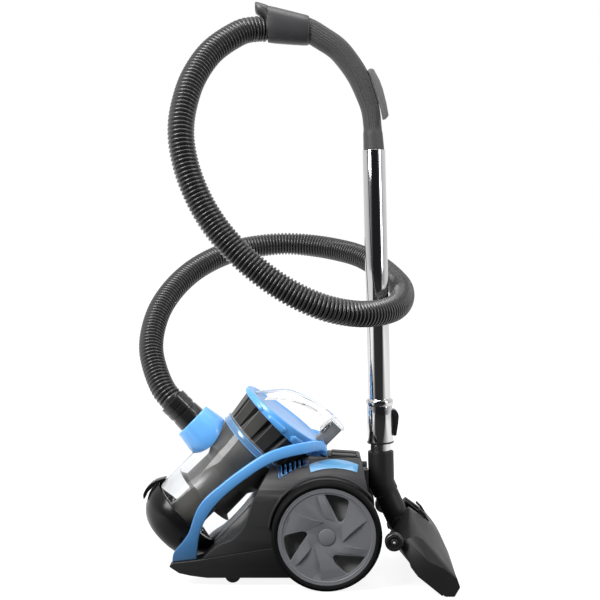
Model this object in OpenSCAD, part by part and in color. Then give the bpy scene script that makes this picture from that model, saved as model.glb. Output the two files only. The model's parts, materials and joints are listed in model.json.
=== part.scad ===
// Canister vacuum cleaner with a cyclone dust cup, parked with its wand behind it.
// X runs from the dust cup (-X) to the parked wand (+X), Y across the wheels, Z up from the floor.

/* [Housing] */
// Width of the housing between the big wheels
body_w = 172; // [166:1:190]
// Wall thickness of the housing and the chassis
wall = 3; // [2:0.5:4]
// Height of the underside above the floor
ground_gap = 13; // [11:0.5:14]
// Thickness of each side panel
panel_t = 3; // [2:0.5:4]
// Thickness of each arm of the blue arch band
arch_t = 14; // [10:1:15]

/* [Big wheels] */
// Outer diameter of the tyres
wheel_d = 164; // [150:1:170]
// Width of each big wheel
wheel_w = 29; // [22:1:34]
// Radial thickness of the tyre
tyre_t = 9.5; // [6:0.5:14]
// Diameter of the wheel axles
axle_d = 8; // [6:0.5:12]
// Distance of the wheel axle behind the frame's origin
wheel_x = 44.5; // [38:0.5:50]
// Diameter of the hub caps
hub_cap_d = 25; // [20:1:34]

/* [Casters] */
// Diameter of the caster wheels
caster_d = 24; // [22:0.5:26]
// Width of the caster wheels
caster_w = 11; // [8:0.5:13]
// Distance between the two caster swivels
caster_track = 122; // [110:1:124]
// Distance of the caster wheel behind its swivel axis
caster_trail = 8; // [5:0.5:9]

/* [Dust cup] */
// Outer diameter of the clear cup
cup_d = 123; // [116:1:124]
// Wall thickness of the cup, its base and its lid
cup_wall = 2; // [1.5:0.25:3]
// Angle between the cup's axis and the vertical
cup_tilt = 45; // [44:0.5:46]
// Outer diameter of the cyclone body
cyclone_d = 88; // [70:1:96]
// Outer diameter of the dust tube
dust_tube_d = 54; // [40:1:60]
// Outer diameter of the base lid
base_d = 134; // [130:1:134]
// Outer diameter of the top lid
lid_d = 147; // [142:1:148]
// Width of the carry handle
handle_w = 36; // [28:1:44]

/* [Wand] */
// Outer diameter of the outer tube
tube_d = 35; // [34:0.5:37]
// Outer diameter of the inner tube
inner_d = 32; // [30:0.5:32.5]
// Wall thickness of both tubes
tube_wall = 1.2; // [0.8:0.1:1.4]
// Diameter of the lock collar
collar_d = 41; // [40:0.5:44]
// Length of the lock collar
collar_len = 66; // [60:1:72]
// Length of the outer tube and its collar
outer_len = 451; // [430:1:470]
// Forward lean of the parked wand
wand_lean = 1.5; // [1:0.1:2]

/* [Hose] */
// Outer diameter of the ribbed hose
hose_d = 39; // [34:0.5:40]

/* [Floor head] */
// Width of the floor head
head_w = 286; // [264:2:292]
// Wall thickness of the head's shell
head_wall = 2.5; // [2:0.25:3.5]
// Diameter of the head's rear wheels
head_wheel_d = 27; // [24:0.5:28]
// Outer diameter of the neck elbow
elbow_d = 37; // [34:0.5:38]

/* [Hidden] */
$fn = 64;
eps = 0.01;
// Clearance between pieces that are screwed or clipped together
seat = 0.2;
// Clearance between pieces that move past each other
play = 0.5;
// Radial clearance of a running fit
run = 0.05;

// Big wheels
wheel_r = wheel_d / 2;
axle_r = axle_d / 2;
panel_y = body_w / 2;
wheel_y0 = panel_y + 3;
wheel_y1 = wheel_y0 + wheel_w;
arch_lip_r = wheel_r + 2.5;
// Inner end of each stub axle
axle_in = panel_y - 10;

// Dust cup frame: origin on the cup's axis at the cyclone's skirt, Z along the axis
cup_x = -139;
cup_z = 123;
cup_r = cup_d / 2;
cup_s0 = -40;
cup_s1 = 103;
base_r = base_d / 2;
base_s = -97;
lid_r = lid_d / 2;
ring_s1 = 114;
ring_r = cup_r + 2;
inlet_s = 65;
inlet_mouth_p = 98;
cuff_end_p = 140;
inlet_bore_r = 21;
cradle_r = ring_r + 1.5;

// Wand frame: origin at the lower end of the lock collar, Z up along the tubes
wand_x = 130;
wand_z = 204;
tube_r = tube_d / 2;
inner_r = inner_d / 2;
collar_r = collar_d / 2;
neck_r = collar_r - 0.5;
// Lower end of the lock collar above the neck cuff, at rest
stub_len = 14;
// Depth of the inner tube in the neck cuff
stub_in = 30;
spigot_len = 40;
inner_top = outer_len - spigot_len - 8;

// Neck: the swivel face between the neck cuff and the elbow
neck_x = 138.9;
neck_z = 125.2;
elbow_lean = 24.8;
elbow_r = elbow_d / 2;
elbow_len = 55;
// The elbow's axis meets the wand's axis this far above the swivel face
bend_up = (neck_x - wand_x - (wand_z - neck_z) * tan(wand_lean))
    / (sin(elbow_lean) - cos(elbow_lean) * tan(wand_lean));
// The same point, measured down the wand's axis
bend_down = (wand_z - neck_z - bend_up * cos(elbow_lean)) / cos(wand_lean);
// Head pivot
head_x = neck_x + elbow_len * sin(elbow_lean);
head_z = neck_z - elbow_len * cos(elbow_lean);
head_pitch = 39;
knuckle_r = 15.5;
knuckle_half = elbow_r + 1;
pin_r = 3.5;
slot_half = knuckle_half + play;
cheek_half = slot_half + 24;
head_wheel_r = head_wheel_d / 2;
head_floor = -23.5;
head_wheel_at = [-17, 0, head_floor + head_wheel_r];

// ---- helpers ----

// Children drawn in X and Z, extruded from y0 to y1
module across(y0, y1) {
    translate([0, y1, 0]) rotate([90, 0, 0]) linear_extrude(y1 - y0) children();
}

// Children drawn in Y and Z, extruded from x0 to x1
module along(x0, x1) {
    translate([x0, 0, 0]) rotate([90, 0, 90]) linear_extrude(x1 - x0) children();
}

// Children and their mirror image in the middle plane
module both_sides() {
    children();
    mirror([0, 1, 0]) children();
}

module ring(r_out, r_in, h) {
    difference() {
        cylinder(r = r_out, h = h);
        translate([0, 0, -1]) cylinder(r = r_in, h = h + 2);
    }
}

// Places children with their Z axis pointing out of the left (-1) or right (1) side
module on_side(side, y) {
    translate([0, side * y, 0]) rotate([-side * 90, 0, 0]) children();
}

module cup_place() { translate([cup_x, 0, cup_z]) rotate([0, cup_tilt, 0]) children(); }

module wand_place() { translate([wand_x, 0, wand_z]) rotate([0, -wand_lean, 0]) children(); }

module elbow_place() { translate([neck_x, 0, neck_z]) rotate([0, 180 - elbow_lean, 0]) children(); }

module head_place() { translate([head_x, 0, head_z]) rotate([0, head_pitch, 0]) children(); }

module inlet_place() { cup_place() translate([0, 0, inlet_s]) rotate([0, -90, 0]) children(); }

// Catmull-Rom curve through the points of p, n steps to a span
function blend_point(a, b, c, d, t) = 0.5 * (2 * b + (c - a) * t
    + (2 * a - 5 * b + 4 * c - d) * t * t + (3 * b - a - 3 * c + d) * t * t * t);
function curve(p, n) = concat(
    [for (i = [0 : len(p) - 2]) for (k = [0 : n - 1])
        blend_point(p[max(i - 1, 0)], p[i], p[i + 1], p[min(i + 2, len(p) - 1)], k / n)],
    [p[len(p) - 1]]);
function reversed(p) = [for (i = [len(p) - 1 : -1 : 0]) p[i]];
function arc(c, r, a0, a1, n) = [for (k = [0 : n]) let (a = a0 + (a1 - a0) * k / n)
    c + r * [cos(a), sin(a)]];

// Unit vectors and frames for a swept tube
function unit(v) = v / norm(v);
function direction(p, i, first, last) = i == 0 ? unit(first)
    : i == len(p) - 1 ? unit(last) : unit(p[i + 1] - p[i - 1]);
function flat_to(v, t) = unit(v - (v * t) * t);
function side_vectors(p, first, last, i, prev) = i >= len(p) ? []
    : let (n = flat_to(prev, direction(p, i, first, last)))
        concat([n], side_vectors(p, first, last, i + 1, n));

// Solid tube along p: rings of radius radii[i] with m sides, flat ends
module sweep(p, radii, m, first, last) {
    sides = side_vectors(p, first, last, 0, [0, 1, 0]);
    rings = [for (i = [0 : len(p) - 1]) let (t = direction(p, i, first, last), b = cross(t, sides[i]))
        for (k = [0 : m - 1]) p[i] + radii[i] * (cos(360 * k / m) * sides[i] + sin(360 * k / m) * b)];
    last_ring = (len(p) - 1) * m;
    polyhedron(points = rings, faces = concat(
        [[for (k = [0 : m - 1]) k]],
        [for (i = [0 : len(p) - 2]) for (k = [0 : m - 1])
            [i * m + k, (i + 1) * m + k, (i + 1) * m + (k + 1) % m, i * m + (k + 1) % m]],
        [[for (k = [m - 1 : -1 : 0]) last_ring + k]]), convexity = 10);
}

// ---- outlines of the housing in X and Z, and in Y and Z ----

// The joint line between chassis and housing
split_line = [[-186, 36], [-149, 40], [-43, 58], [112, 63]];
// The housing's front edge at the side, which follows the cup
front_edge = curve([[-140, 42], [-119, 61], [-95, 72], [-77, 92], [-66, 125], [-52, 155],
    [-38, 175], [-22, 187]], 3);
deck = [[17, 187.5], [42, 187], [97, 183.5]];
rear_edge = [[100, 178], [106, 141], [112, 63]];
// Right half of the housing seen from behind, from the side wall up to the crown
shoulder = curve([[panel_y, 135], [panel_y - 5, 151], [panel_y - 13, 163.5], [panel_y - 26, 173.5],
    [panel_y - 41, 180.5], [panel_y - 56, 184.6], [panel_y - 71, 186.8], [6, 187.5]], 3);

module chassis_outline() {
    polygon(concat([[-191, 30]], split_line,
        [[110, 23], [101, ground_gap], [-134, ground_gap], [-158, ground_gap + 3], [-176, 20]]));
}

module housing_outline() {
    polygon(concat(front_edge, deck, [for (p = rear_edge) p + [0, seat]], [split_line[2] + [0, seat]]));
}

// Cross-section of the housing, moved outwards and up by grow
module section_outline(grow) {
    right = [for (p = shoulder) p + [grow, grow]];
    polygon(concat([[panel_y + grow, 0]], right, [for (p = reversed(right)) [-p[0], p[1]]],
        [[-panel_y - grow, 0]]));
}

// Keeps what lies inside the housing's rounded shoulders
module under_shoulders(grow) {
    intersection() {
        children();
        along(-220, 140) section_outline(grow);
    }
}

// The space inside the housing and chassis
module bay_outline() {
    front = [for (p = front_edge) if (p[0] > -79) p + [wall + 2, -wall - 1]];
    polygon(concat([[-74, ground_gap + wall]], front,
        [for (p = deck) p + [-wall, -cover_t - wall]],
        [for (p = rear_edge) p + [-wall, 0]], [[99, ground_gap + wall]]));
}

// Room below the base for its lid to drop open
base_drop = 6;

// The trough that the cup and the lid lie in, widened by extra
module cradle_cut(extra) {
    cup_place() {
        translate([0, 0, base_s - 60]) cylinder(r = base_r + 1.5 + extra, h = 60 - base_s + cup_s0 + 2);
        translate([base_drop, 0, base_s - 60])
            cylinder(r = base_r + 1.5 + extra, h = 60 - base_s + cup_s0 - 8);
        translate([0, 0, cup_s0 - 30]) cylinder(r = cradle_r + extra, h = 240);
        translate([0, 0, ring_s1]) cylinder(r = filter_r1 + 1.5 + extra, h = 60);
    }
    lid_place() translate([0, 0, -lid_t - 1.5 - extra]) cylinder(r = lid_r + 1.5 + extra, h = 120);
}

module bay() {
    difference() {
        under_shoulders(-wall) across(-panel_y + panel_t + wall, panel_y - panel_t - wall) bay_outline();
        cradle_cut(wall);
    }
}

// ---- chassis and housing ----

caster_x = -104.6;
caster_y = caster_track / 2;
caster_r = caster_d / 2;
pocket_r = caster_trail + caster_r + 1.5;
pocket_top = caster_d + 4.2;
stem_r = 4;

module lower_chassis() {
    color([0.12, 0.12, 0.13]) difference() {
        union() {
            difference() {
                across(-panel_y, panel_y) chassis_outline();
                bay();
                cradle_cut(0);
            }
            both_sides() translate([caster_x, caster_y, ground_gap])
                cylinder(r = pocket_r + 2, h = pocket_top + 2.8 - ground_gap);
            motor_saddle();
        }
        both_sides() translate([caster_x, caster_y, ground_gap - 1])
            cylinder(r = pocket_r, h = pocket_top - ground_gap + 1);
        both_sides() translate([caster_x, caster_y, 0]) cylinder(r = stem_r + run, h = 60);
        screw_holes();
    }
}

// Two ribs on the floor that carry the motor
module motor_saddle() {
    difference() {
        for (x = saddle_x) translate([x, motor_y - 26, ground_gap + 1])
            cube([4, 52, motor_z - 20 - ground_gap]);
        motor_place() translate([0, 0, -1]) cylinder(r = motor_r, h = motor_len + 2);
    }
}

// Screws up through the underside, the same on both sides
screw_at = [[-128, 28], [-20, 66], [84, 66]];
screw_r = 1.5;
screw_len = 12;
screw_head_r = 3.2;
screw_head_t = 1.6;

module screw_holes() {
    both_sides() for (p = screw_at) translate([p[0], p[1], ground_gap]) {
        translate([0, 0, -1]) cylinder(r = screw_r + seat, h = screw_len + 2);
        translate([0, 0, -1]) cylinder(r = screw_head_r + seat, h = screw_head_t + 1 + eps);
    }
}

module housing_screws() {
    color("silver") both_sides() for (p = screw_at) translate([p[0], p[1], ground_gap]) difference() {
        union() {
            cylinder(r = screw_head_r, h = screw_head_t);
            cylinder(r = screw_r, h = screw_len);
        }
        translate([0, 0, -1]) cylinder(r = 1.3, h = 2);
    }
}

module main_housing() {
    color([0.2, 0.2, 0.21]) difference() {
        union() {
            difference() {
                under_shoulders(0) across(-panel_y + panel_t, panel_y - panel_t) housing_outline();
                bay();
                cradle_cut(0);
            }
            reel_axle();
        }
        cover_recess();
        vent_window(seat);
        both_sides() on_side(1, panel_y - panel_t - wall - 1) translate([wheel_x, -wheel_r, 0])
            cylinder(r = axle_r, h = wall + 2);
        grille_window(seat);
        clip_screws();
        outlet_place() translate([0, 0, -30]) cylinder(r = outlet_r, h = 60);
    }
}

// The wheel's arch lip on a side panel
module arch_lip() {
    across(panel_y - 1, panel_y + arch_lip_w) intersection() {
        difference() {
            translate([wheel_x, wheel_r]) circle(r = arch_lip_r + arch_lip_t);
            translate([wheel_x, wheel_r]) circle(r = arch_lip_r);
        }
        translate([-200, wheel_r + 6]) square([312, 200]);
    }
}

arch_lip_t = 3;
arch_lip_w = 9;

module side_panel() {
    difference() {
        union() {
            under_shoulders(0) across(panel_y - panel_t, panel_y) housing_outline();
            arch_lip();
        }
        on_side(1, panel_y - panel_t - 1) translate([wheel_x, -wheel_r, 0])
            cylinder(r = axle_r, h = panel_t + 2);
    }
}

module left_side_panel() { color([0.27, 0.27, 0.28]) mirror([0, 1, 0]) side_panel(); }
module right_side_panel() { color([0.27, 0.27, 0.28]) side_panel(); }

// Blue arch over each side of the cup, from a foot beside the base up to the lid's rear edge
arch_outer = curve([[-186.5, 36.4], [-184.5, 50], [-173, 63.5], [-162, 79.5], [-156, 97.5],
    [-149, 115.5], [-136, 133], [-115, 151], [-93, 168.5], [-61, 190.5], [-34, 204], [3, 213],
    [26, 215], [40, 210.5], [47, 198]], 3);
arch_inner = curve([[-150, 40.5], [-148.5, 60], [-145.5, 78], [-139.5, 94], [-129.5, 112], [-114, 130.5],
    [-93, 149], [-69, 167], [-48, 180], [-22, 190.5], [13, 197], [37, 199], [46, 193]], 3);
// Inner side of the arch seen from above
arch_plan = curve([[-200, 69], [-120, 69], [-60, 67], [-10, 58], [20, 48], [50, 24]], 4);
// Bridge between the two arms, behind the lid
bridge = [[14, 184], [47, 184], [47, 198], [40, 210], [24, 215]];
bridge_half = 27;

module arch_band() {
    color([0.3, 0.6, 0.95]) difference() {
        union() {
            both_sides() intersection() {
                across(20, panel_y) polygon(concat(arch_outer, reversed(arch_inner)));
                linear_extrude(240)
                    polygon(concat(arch_plan, [for (p = reversed(arch_plan)) p + [0, arch_t]]));
            }
            across(-bridge_half, bridge_half) polygon(bridge);
        }
        under_shoulders(seat) across(-panel_y - 1, panel_y + 1) housing_outline();
        cradle_cut(0);
        cup_place() post_space(1.5);
    }
}

// Louvres let into each shoulder of the housing, below the arch
vent_count = 5;
vent_pitch = 7;
vent_t = 2.5;

module vent_outline(grow) {
    polygon([[-30 - grow, 183 + grow], [-27 - grow, 161 - grow], [0, 174 - grow], [18 + grow, 178 - grow],
        [18 + grow, 195 + grow]]);
}

module vent_window(grow) { both_sides() across(36, panel_y + 5) vent_outline(grow); }

module side_vents() {
    color([0.08, 0.16, 0.4]) difference() {
        under_shoulders(0) vent_window(0);
        cradle_cut(0);
        under_shoulders(-vent_t) across(-panel_y, panel_y) translate([-60, 100]) square([120, 100]);
        both_sides() across(30, panel_y + 5) for (k = [0 : vent_count - 1])
            translate([-22 + k * vent_pitch, 166 + 2.5 * k]) rotate(4) square([4, 30]);
    }
}

// Strip over each wheel, on the housing's shoulder
strip_at = [56, 51.5];
strip_r = 132;
strip_w = 9;
strip_t = 1.5;
strip_half_angle = 16.5;

module trim_strips() {
    color([0.45, 0.7, 0.95]) both_sides() difference() {
        under_shoulders(strip_t) across(30, panel_y + 5) translate(strip_at) polygon(concat(
            arc([0, 0], strip_r, 90 + strip_half_angle, 90 - strip_half_angle, 16),
            arc([0, 0], strip_r - strip_w, 90 - strip_half_angle, 90 + strip_half_angle, 16)));
        along(-220, 140) section_outline(0);
    }
}

// Top cover behind the lid, with the two pedals let into it
cover_half = 28;
cover_x0 = 48.5;
cover_t = 4.2;
cover_rise = 1;
pedal_x0 = 54;
pedal_x1 = 92;
pedal_y0 = 3;
pedal_y1 = 25;
pedal_rise = 2.2;

// The cover's outline from drop below the deck to rise above it
module cover_outline(drop, rise, grow) {
    rear = deck[2];
    front = [cover_x0, deck[1][1] + (cover_x0 - deck[1][0]) * (rear[1] - deck[1][1])
        / (rear[0] - deck[1][0])];
    polygon([front + [-grow, rise], rear + [grow, rise], rear + [grow, -drop], front + [-grow, -drop]]);
}

module cover_recess() {
    across(-cover_half - seat, cover_half + seat) cover_outline(cover_t + seat, 20, seat);
}

module top_panel() {
    color([0.24, 0.23, 0.23]) difference() {
        under_shoulders(cover_rise) across(-cover_half, cover_half) cover_outline(cover_t, cover_rise, 0);
        both_sides() translate([pedal_x0, pedal_y0, 170])
            cube([pedal_x1 - pedal_x0, pedal_y1 - pedal_y0, 60]);
        cradle_cut(0);
    }
}

module pedal() {
    intersection() {
        across(pedal_y0 + play, pedal_y1 - play) cover_outline(0.2, pedal_rise, 0);
        translate([pedal_x0 + play, 0, 170]) cube([pedal_x1 - pedal_x0 - 2 * play, 100, 60]);
    }
}

module power_pedal() { color([0.3, 0.3, 0.31]) pedal(); }
module rewind_pedal() { color([0.3, 0.3, 0.31]) mirror([0, 1, 0]) pedal(); }

// Clip on the rear face that the neck cuff's rib hooks into
clip_z0 = 126;
clip_h = 36;
clip_half = 13;
clip_x1 = 110.8;
rib_depth = 3.5;
rib_half = 3.5;

module clip_screws() {
    both_sides() translate([90, clip_half - 4, clip_z0 + clip_h / 2]) rotate([0, 90, 0])
        cylinder(r = 1.6, h = 40);
}

module parking_clip() {
    color([0.3, 0.3, 0.31]) difference() {
        translate([clip_x1 - 16, -clip_half, clip_z0]) cube([16, 2 * clip_half, clip_h]);
        across(-clip_half - 1, clip_half + 1) housing_outline();
        across(-clip_half - 1, clip_half + 1) bay_outline();
        translate([clip_x1 - rib_depth - play, -rib_half - play, clip_z0 + 6])
            cube([20, 2 * rib_half + 2 * play, clip_h]);
        clip_screws();
    }
}

// Exhaust grille in the rear face, with its filter behind it
grille_half = 48;
grille_z0 = 73;
grille_h = 50;

module grille_window(grow) {
    translate([60, -grille_half - grow, grille_z0 - grow])
        cube([60, 2 * (grille_half + grow), grille_h + 2 * grow]);
}

module exhaust_grille() {
    color([0.15, 0.15, 0.16]) difference() {
        across(-grille_half, grille_half) difference() {
            intersection() {
                housing_outline();
                translate([60, grille_z0]) square([60, grille_h]);
            }
            bay_outline();
        }
        for (k = [0 : 6]) translate([60, -grille_half + 6, grille_z0 + 5 + k * 6.2])
            cube([60, 2 * grille_half - 12, 2.6]);
    }
}

module exhaust_filter() {
    color([0.85, 0.85, 0.82]) translate([99, -grille_half + 4, grille_z0 + 2])
        cube([5.5, 2 * grille_half - 8, grille_h - 6]);
}

// Outlet of the mains cord: a gland with a bore for the cord
outlet_r = 8;
outlet_bore_r = 3.75;
outlet_y = 58;
outlet_z = 155;
outlet_len = 14;

module outlet_place() {
    translate([98, outlet_y, outlet_z]) rotate([0, 90, 0]) children();
}

module cord_outlet() {
    color([0.08, 0.08, 0.09]) outlet_place() difference() {
        union() {
            cylinder(r = outlet_r - seat / 2, h = outlet_len);
            translate([0, 0, -1.5]) cylinder(r = outlet_r + 3, h = 1.5);
        }
        translate([0, 0, -3]) cylinder(r = outlet_bore_r, h = outlet_len + 6);
    }
}

// ---- motor, fan and cord reel inside the housing ----

motor_x0 = -16;
motor_y = -27;
motor_z = 81;
saddle_x = [6, 60];
motor_r = 40;
motor_len = 96;
motor_wall = 2.5;
shaft_r = 4;
fan_len = 26;

module motor_place() { translate([motor_x0, motor_y, motor_z]) rotate([0, 90, 0]) children(); }

module motor_shell() {
    color([0.6, 0.6, 0.62]) motor_place() difference() {
        cylinder(r = motor_r, h = motor_len);
        translate([0, 0, motor_wall]) cylinder(r = motor_r - motor_wall, h = motor_len - 2 * motor_wall);
        translate([0, 0, -1]) cylinder(r = 14, h = motor_wall + 2);
        translate([0, 0, motor_len - motor_wall - 1]) cylinder(r = shaft_r + run, h = motor_wall + 2);
        for (a = [30 : 60 : 330]) rotate(a) translate([24, 0, motor_len - motor_wall - 1])
            cylinder(r = 5, h = motor_wall + 2);
    }
}

// Laminated stator that carries the windings
module motor_core() {
    color([0.55, 0.35, 0.2]) motor_place() translate([0, 0, motor_wall + fan_len + 8])
        ring(motor_r - motor_wall - seat, 17, 46);
}

module motor_rotor() {
    color([0.75, 0.75, 0.78]) motor_place() {
        translate([0, 0, 4]) cylinder(r = shaft_r, h = motor_len - 2);
        translate([0, 0, motor_wall + fan_len + 10]) cylinder(r = 15.5, h = 42);
        translate([0, 0, motor_wall + 3]) {
            cylinder(r = 34, h = 2);
            for (a = [0 : 40 : 320]) rotate(a) translate([7, -1, 1]) cube([26, 2, 12]);
            translate([0, 0, 12]) ring(34, 13, 2);
        }
    }
}

reel_x = 36;
reel_y0 = 24;
reel_w = 40;
reel_r = 50;
reel_axle_r = 6;
reel_z = 95;

module reel_place() { translate([reel_x, reel_y0 + reel_w, reel_z]) rotate([90, 0, 0]) children(); }

// Axle of the reel, on the housing's side wall
module reel_axle() {
    reel_place() translate([0, 0, reel_y0 + reel_w - (panel_y - panel_t)])
        cylinder(r = reel_axle_r, h = panel_y - panel_t - reel_y0);
}

module cord_reel() {
    color([0.85, 0.85, 0.83]) reel_place() difference() {
        union() {
            cylinder(r = 30, h = reel_w);
            cylinder(r = reel_r, h = 2);
            translate([0, 0, reel_w - 2]) cylinder(r = reel_r, h = 2);
        }
        translate([0, 0, -1]) cylinder(r = reel_axle_r + run, h = reel_w + 2);
        translate([0, 0, 3]) ring(27, 10, reel_w);
    }
}

// ---- big wheels ----

module wheel_axles() {
    color("silver") both_sides() on_side(1, axle_in) translate([wheel_x, -wheel_r, 0])
        cylinder(r = axle_r, h = wheel_y1 - 7 - axle_in);
}

module wheel_place(side) { on_side(side, wheel_y0) translate([wheel_x, -side * wheel_r, 0]) children(); }

rim_r = wheel_r - tyre_t;
hub_r = 15;
// Depth of the disc's face below the tyre's outer face
dish = 3;

module tyre() {
    rotate_extrude() polygon([[rim_r, 2], [wheel_r - 5, 0], [wheel_r - 1.2, 2.5], [wheel_r, 6],
        [wheel_r, wheel_w - 6], [wheel_r - 1.2, wheel_w - 2.5], [wheel_r - 5, wheel_w],
            [rim_r, wheel_w - 2]]);
}

// One swept window of the disc, between two arcs
module window() {
    linear_extrude(wheel_w) polygon(concat(arc([0, 0], rim_r - 9, 61, 93, 10),
        [[16.9, 23.5], [21.7, 22.3], [26.5, 28.3], [29.6, 38], [32.3, 51.3]]));
}

module wheel_disc() {
    face = wheel_w - dish;
    difference() {
        union() {
            translate([0, 0, face - 4]) cylinder(r = rim_r, h = 4);
            translate([0, 0, 2]) ring(rim_r, rim_r - 3, wheel_w - 4);
            translate([0, 0, 1]) cylinder(r = hub_r, h = face - 2);
            translate([0, 0, 6]) cylinder(r = rim_r - 1, h = 2);
        }
        translate([0, 0, -1]) cylinder(r = axle_r + run, h = wheel_w + 2);
        translate([0, 0, face - 3.5]) cylinder(r = hub_cap_d / 2 + seat, h = 10);
        for (a = [0, 120, 240]) rotate(a) translate([0, 0, 9]) window();
    }
}

module hub_cap() {
    translate([0, 0, wheel_w - dish - 3.5 + seat / 2]) cylinder(r = hub_cap_d / 2, h = 4.5);
}

module left_tyre() { color([0.12, 0.12, 0.12]) wheel_place(-1) tyre(); }
module right_tyre() { color([0.12, 0.12, 0.12]) wheel_place(1) tyre(); }
module left_wheel_disc() { color([0.45, 0.47, 0.5]) wheel_place(-1) wheel_disc(); }
module right_wheel_disc() { color([0.45, 0.47, 0.5]) wheel_place(1) wheel_disc(); }
module left_hub_cap() { color([0.5, 0.52, 0.55]) wheel_place(-1) hub_cap(); }
module right_hub_cap() { color([0.5, 0.52, 0.55]) wheel_place(1) hub_cap(); }

// ---- casters ----

fork_top = pocket_top - 0.7;
cheek_t = 2;
cheek_y = caster_w / 2 + play;
pin_caster_r = 1.5;

module caster_fork() {
    translate([0, 0, fork_top - 2.5]) cylinder(r = 12, h = 2.5);
    translate([0, 0, fork_top - 1]) cylinder(r = stem_r, h = pocket_top + 2 - fork_top);
    both_sides() across(cheek_y, cheek_y + cheek_t) {
        translate([caster_trail, caster_r]) circle(r = 4);
        polygon([[caster_trail - 4, caster_r], [caster_trail + 4, caster_r],
            [8, fork_top - 1], [-8, fork_top - 1]]);
    }
    translate([caster_trail, cheek_y + cheek_t, caster_r]) rotate([90, 0, 0])
        cylinder(r = pin_caster_r, h = 2 * (cheek_y + cheek_t));
}

module caster_wheel() {
    translate([caster_trail, caster_w / 2, caster_r]) rotate([90, 0, 0]) difference() {
        rotate_extrude() polygon([[0, 0], [caster_r - 1.5, 0], [caster_r, 1.5],
            [caster_r, caster_w - 1.5], [caster_r - 1.5, caster_w], [0, caster_w]]);
        translate([0, 0, -1]) cylinder(r = pin_caster_r + run, h = caster_w + 2);
    }
}

module caster_place(side) { translate([caster_x, side * caster_y, 0]) children(); }

module left_caster_fork() { color([0.2, 0.2, 0.2]) caster_place(-1) caster_fork(); }
module right_caster_fork() { color([0.2, 0.2, 0.2]) caster_place(1) caster_fork(); }
module left_caster_wheel() { color([0.3, 0.3, 0.3]) caster_place(-1) caster_wheel(); }
module right_caster_wheel() { color([0.3, 0.3, 0.3]) caster_place(1) caster_wheel(); }

// ---- dust cup, lid and filters, drawn along the cup's axis ----

module dust_cup() {
    color([0.85, 0.88, 0.9, 0.35]) cup_place() difference() {
        translate([0, 0, cup_s0]) ring(cup_r, cup_r - cup_wall, cup_s1 - cup_s0);
        translate([0, 0, inlet_s]) rotate([0, -90, 0]) cylinder(r = inlet_bore_r + cup_wall + seat, h = 100);
    }
}

// Bowl-shaped lid under the cup
base_outside = curve([[base_r, -54], [base_r - 1.5, -62], [base_r - 10, -78], [base_r - 20, -88.5],
    [base_r - 31, -94.5], [22, base_s], [0, base_s]], 2);
base_profile = concat([[base_r, cup_s0 - seat]], base_outside,
    [for (p = reversed(base_outside)) [max(p[0] - cup_wall - 1, 0), p[1] + cup_wall]],
    [[base_r - cup_wall - 1, cup_s0 - seat]]);

module base_lid() {
    color([0.06, 0.06, 0.07]) cup_place() rotate_extrude() polygon(base_profile);
}

latch_half = 11;
latch_outside = curve([[-base_r - 6.7, -48], [-base_r - 6.6, -60], [-base_r - 3, -70.2],
    [-base_r + 3.5, -75]], 3);
latch_inside = curve([[-base_r - 0.6, -50], [-base_r - 0.6, -62], [-base_r + 2.5, -70.5],
    [-base_r + 2.5, -74]], 3);

// Lever on the base's front side, hooked over the cup's rim
module cup_latch() {
    color([0.1, 0.1, 0.1]) cup_place() across(-latch_half, latch_half)
        polygon(concat([[-cup_r - 0.4, -28], [-cup_r - 3, -28], [-base_r - 4.5, -40]], latch_outside,
            reversed(latch_inside), [[-base_r - 0.6, -39], [-cup_r - 0.4, -38]]));
}

// Hood around the top of the cyclone, which leads the air in from the hose
hood_r = cup_r - cup_wall - 1;
hood_s = 66;

module cyclone_body() {
    color([0.13, 0.13, 0.14]) cup_place() {
        difference() {
            union() {
                cylinder(r = cyclone_d / 2, h = cup_s1);
                rotate_extrude() polygon([[cyclone_d / 2 - 1, 42], [hood_r, hood_s],
                    [hood_r, cup_s1], [hood_r - 2, cup_s1], [hood_r - 2, hood_s + 1],
                    [cyclone_d / 2 - 1, 46]]);
                translate([0, 0, -3]) cylinder(r1 = cyclone_d / 2 + 8, r2 = cyclone_d / 2 - 1, h = 5);
                translate([0, 0, cup_s1 - 4]) cylinder(r = cup_r - cup_wall - seat, h = 4);
            }
            translate([0, 0, -5]) cylinder(r = cyclone_d / 2 - 2, h = cup_s1 - 1);
            translate([0, 0, inlet_s]) rotate([0, -90, 0]) cylinder(r = inlet_bore_r - 2, h = cup_r);
            translate([0, 0, cup_s1 - 10]) cylinder(r = 30, h = 20);
        }
    }
}

module dust_tube() {
    color([0.7, 0.72, 0.75]) cup_place() difference() {
        union() {
            translate([0, 0, base_s + 4]) cylinder(r = dust_tube_d / 2, h = -base_s - 5);
            translate([0, 0, -3]) cylinder(r = cyclone_d / 2 - 2 - seat, h = 2);
        }
        translate([0, 0, base_s]) cylinder(r = dust_tube_d / 2 - 2, h = 120);
    }
}

module cup_ring() {
    color([0.3, 0.6, 0.95]) cup_place() translate([0, 0, cup_s1 + seat / 2])
        ring(ring_r, 46, ring_s1 - cup_s1 - seat);
}

// The filter's black housing widens from the ring up to the sloping lid
filter_r0 = 62;
filter_r1 = 67;
filter_h = 70;
lid_top_s = 171;
lid_slope = 10;
lid_t = 11;

module lid_place() { cup_place() translate([0, 0, lid_top_s]) rotate([0, -lid_slope, 0]) children(); }

module below_lid() {
    lid_place() translate([-150, -150, -200 - lid_t - seat]) cube([300, 300, 200]);
}

module above_lid() {
    lid_place() translate([-150, -150, seat]) cube([300, 300, 150]);
}

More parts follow.
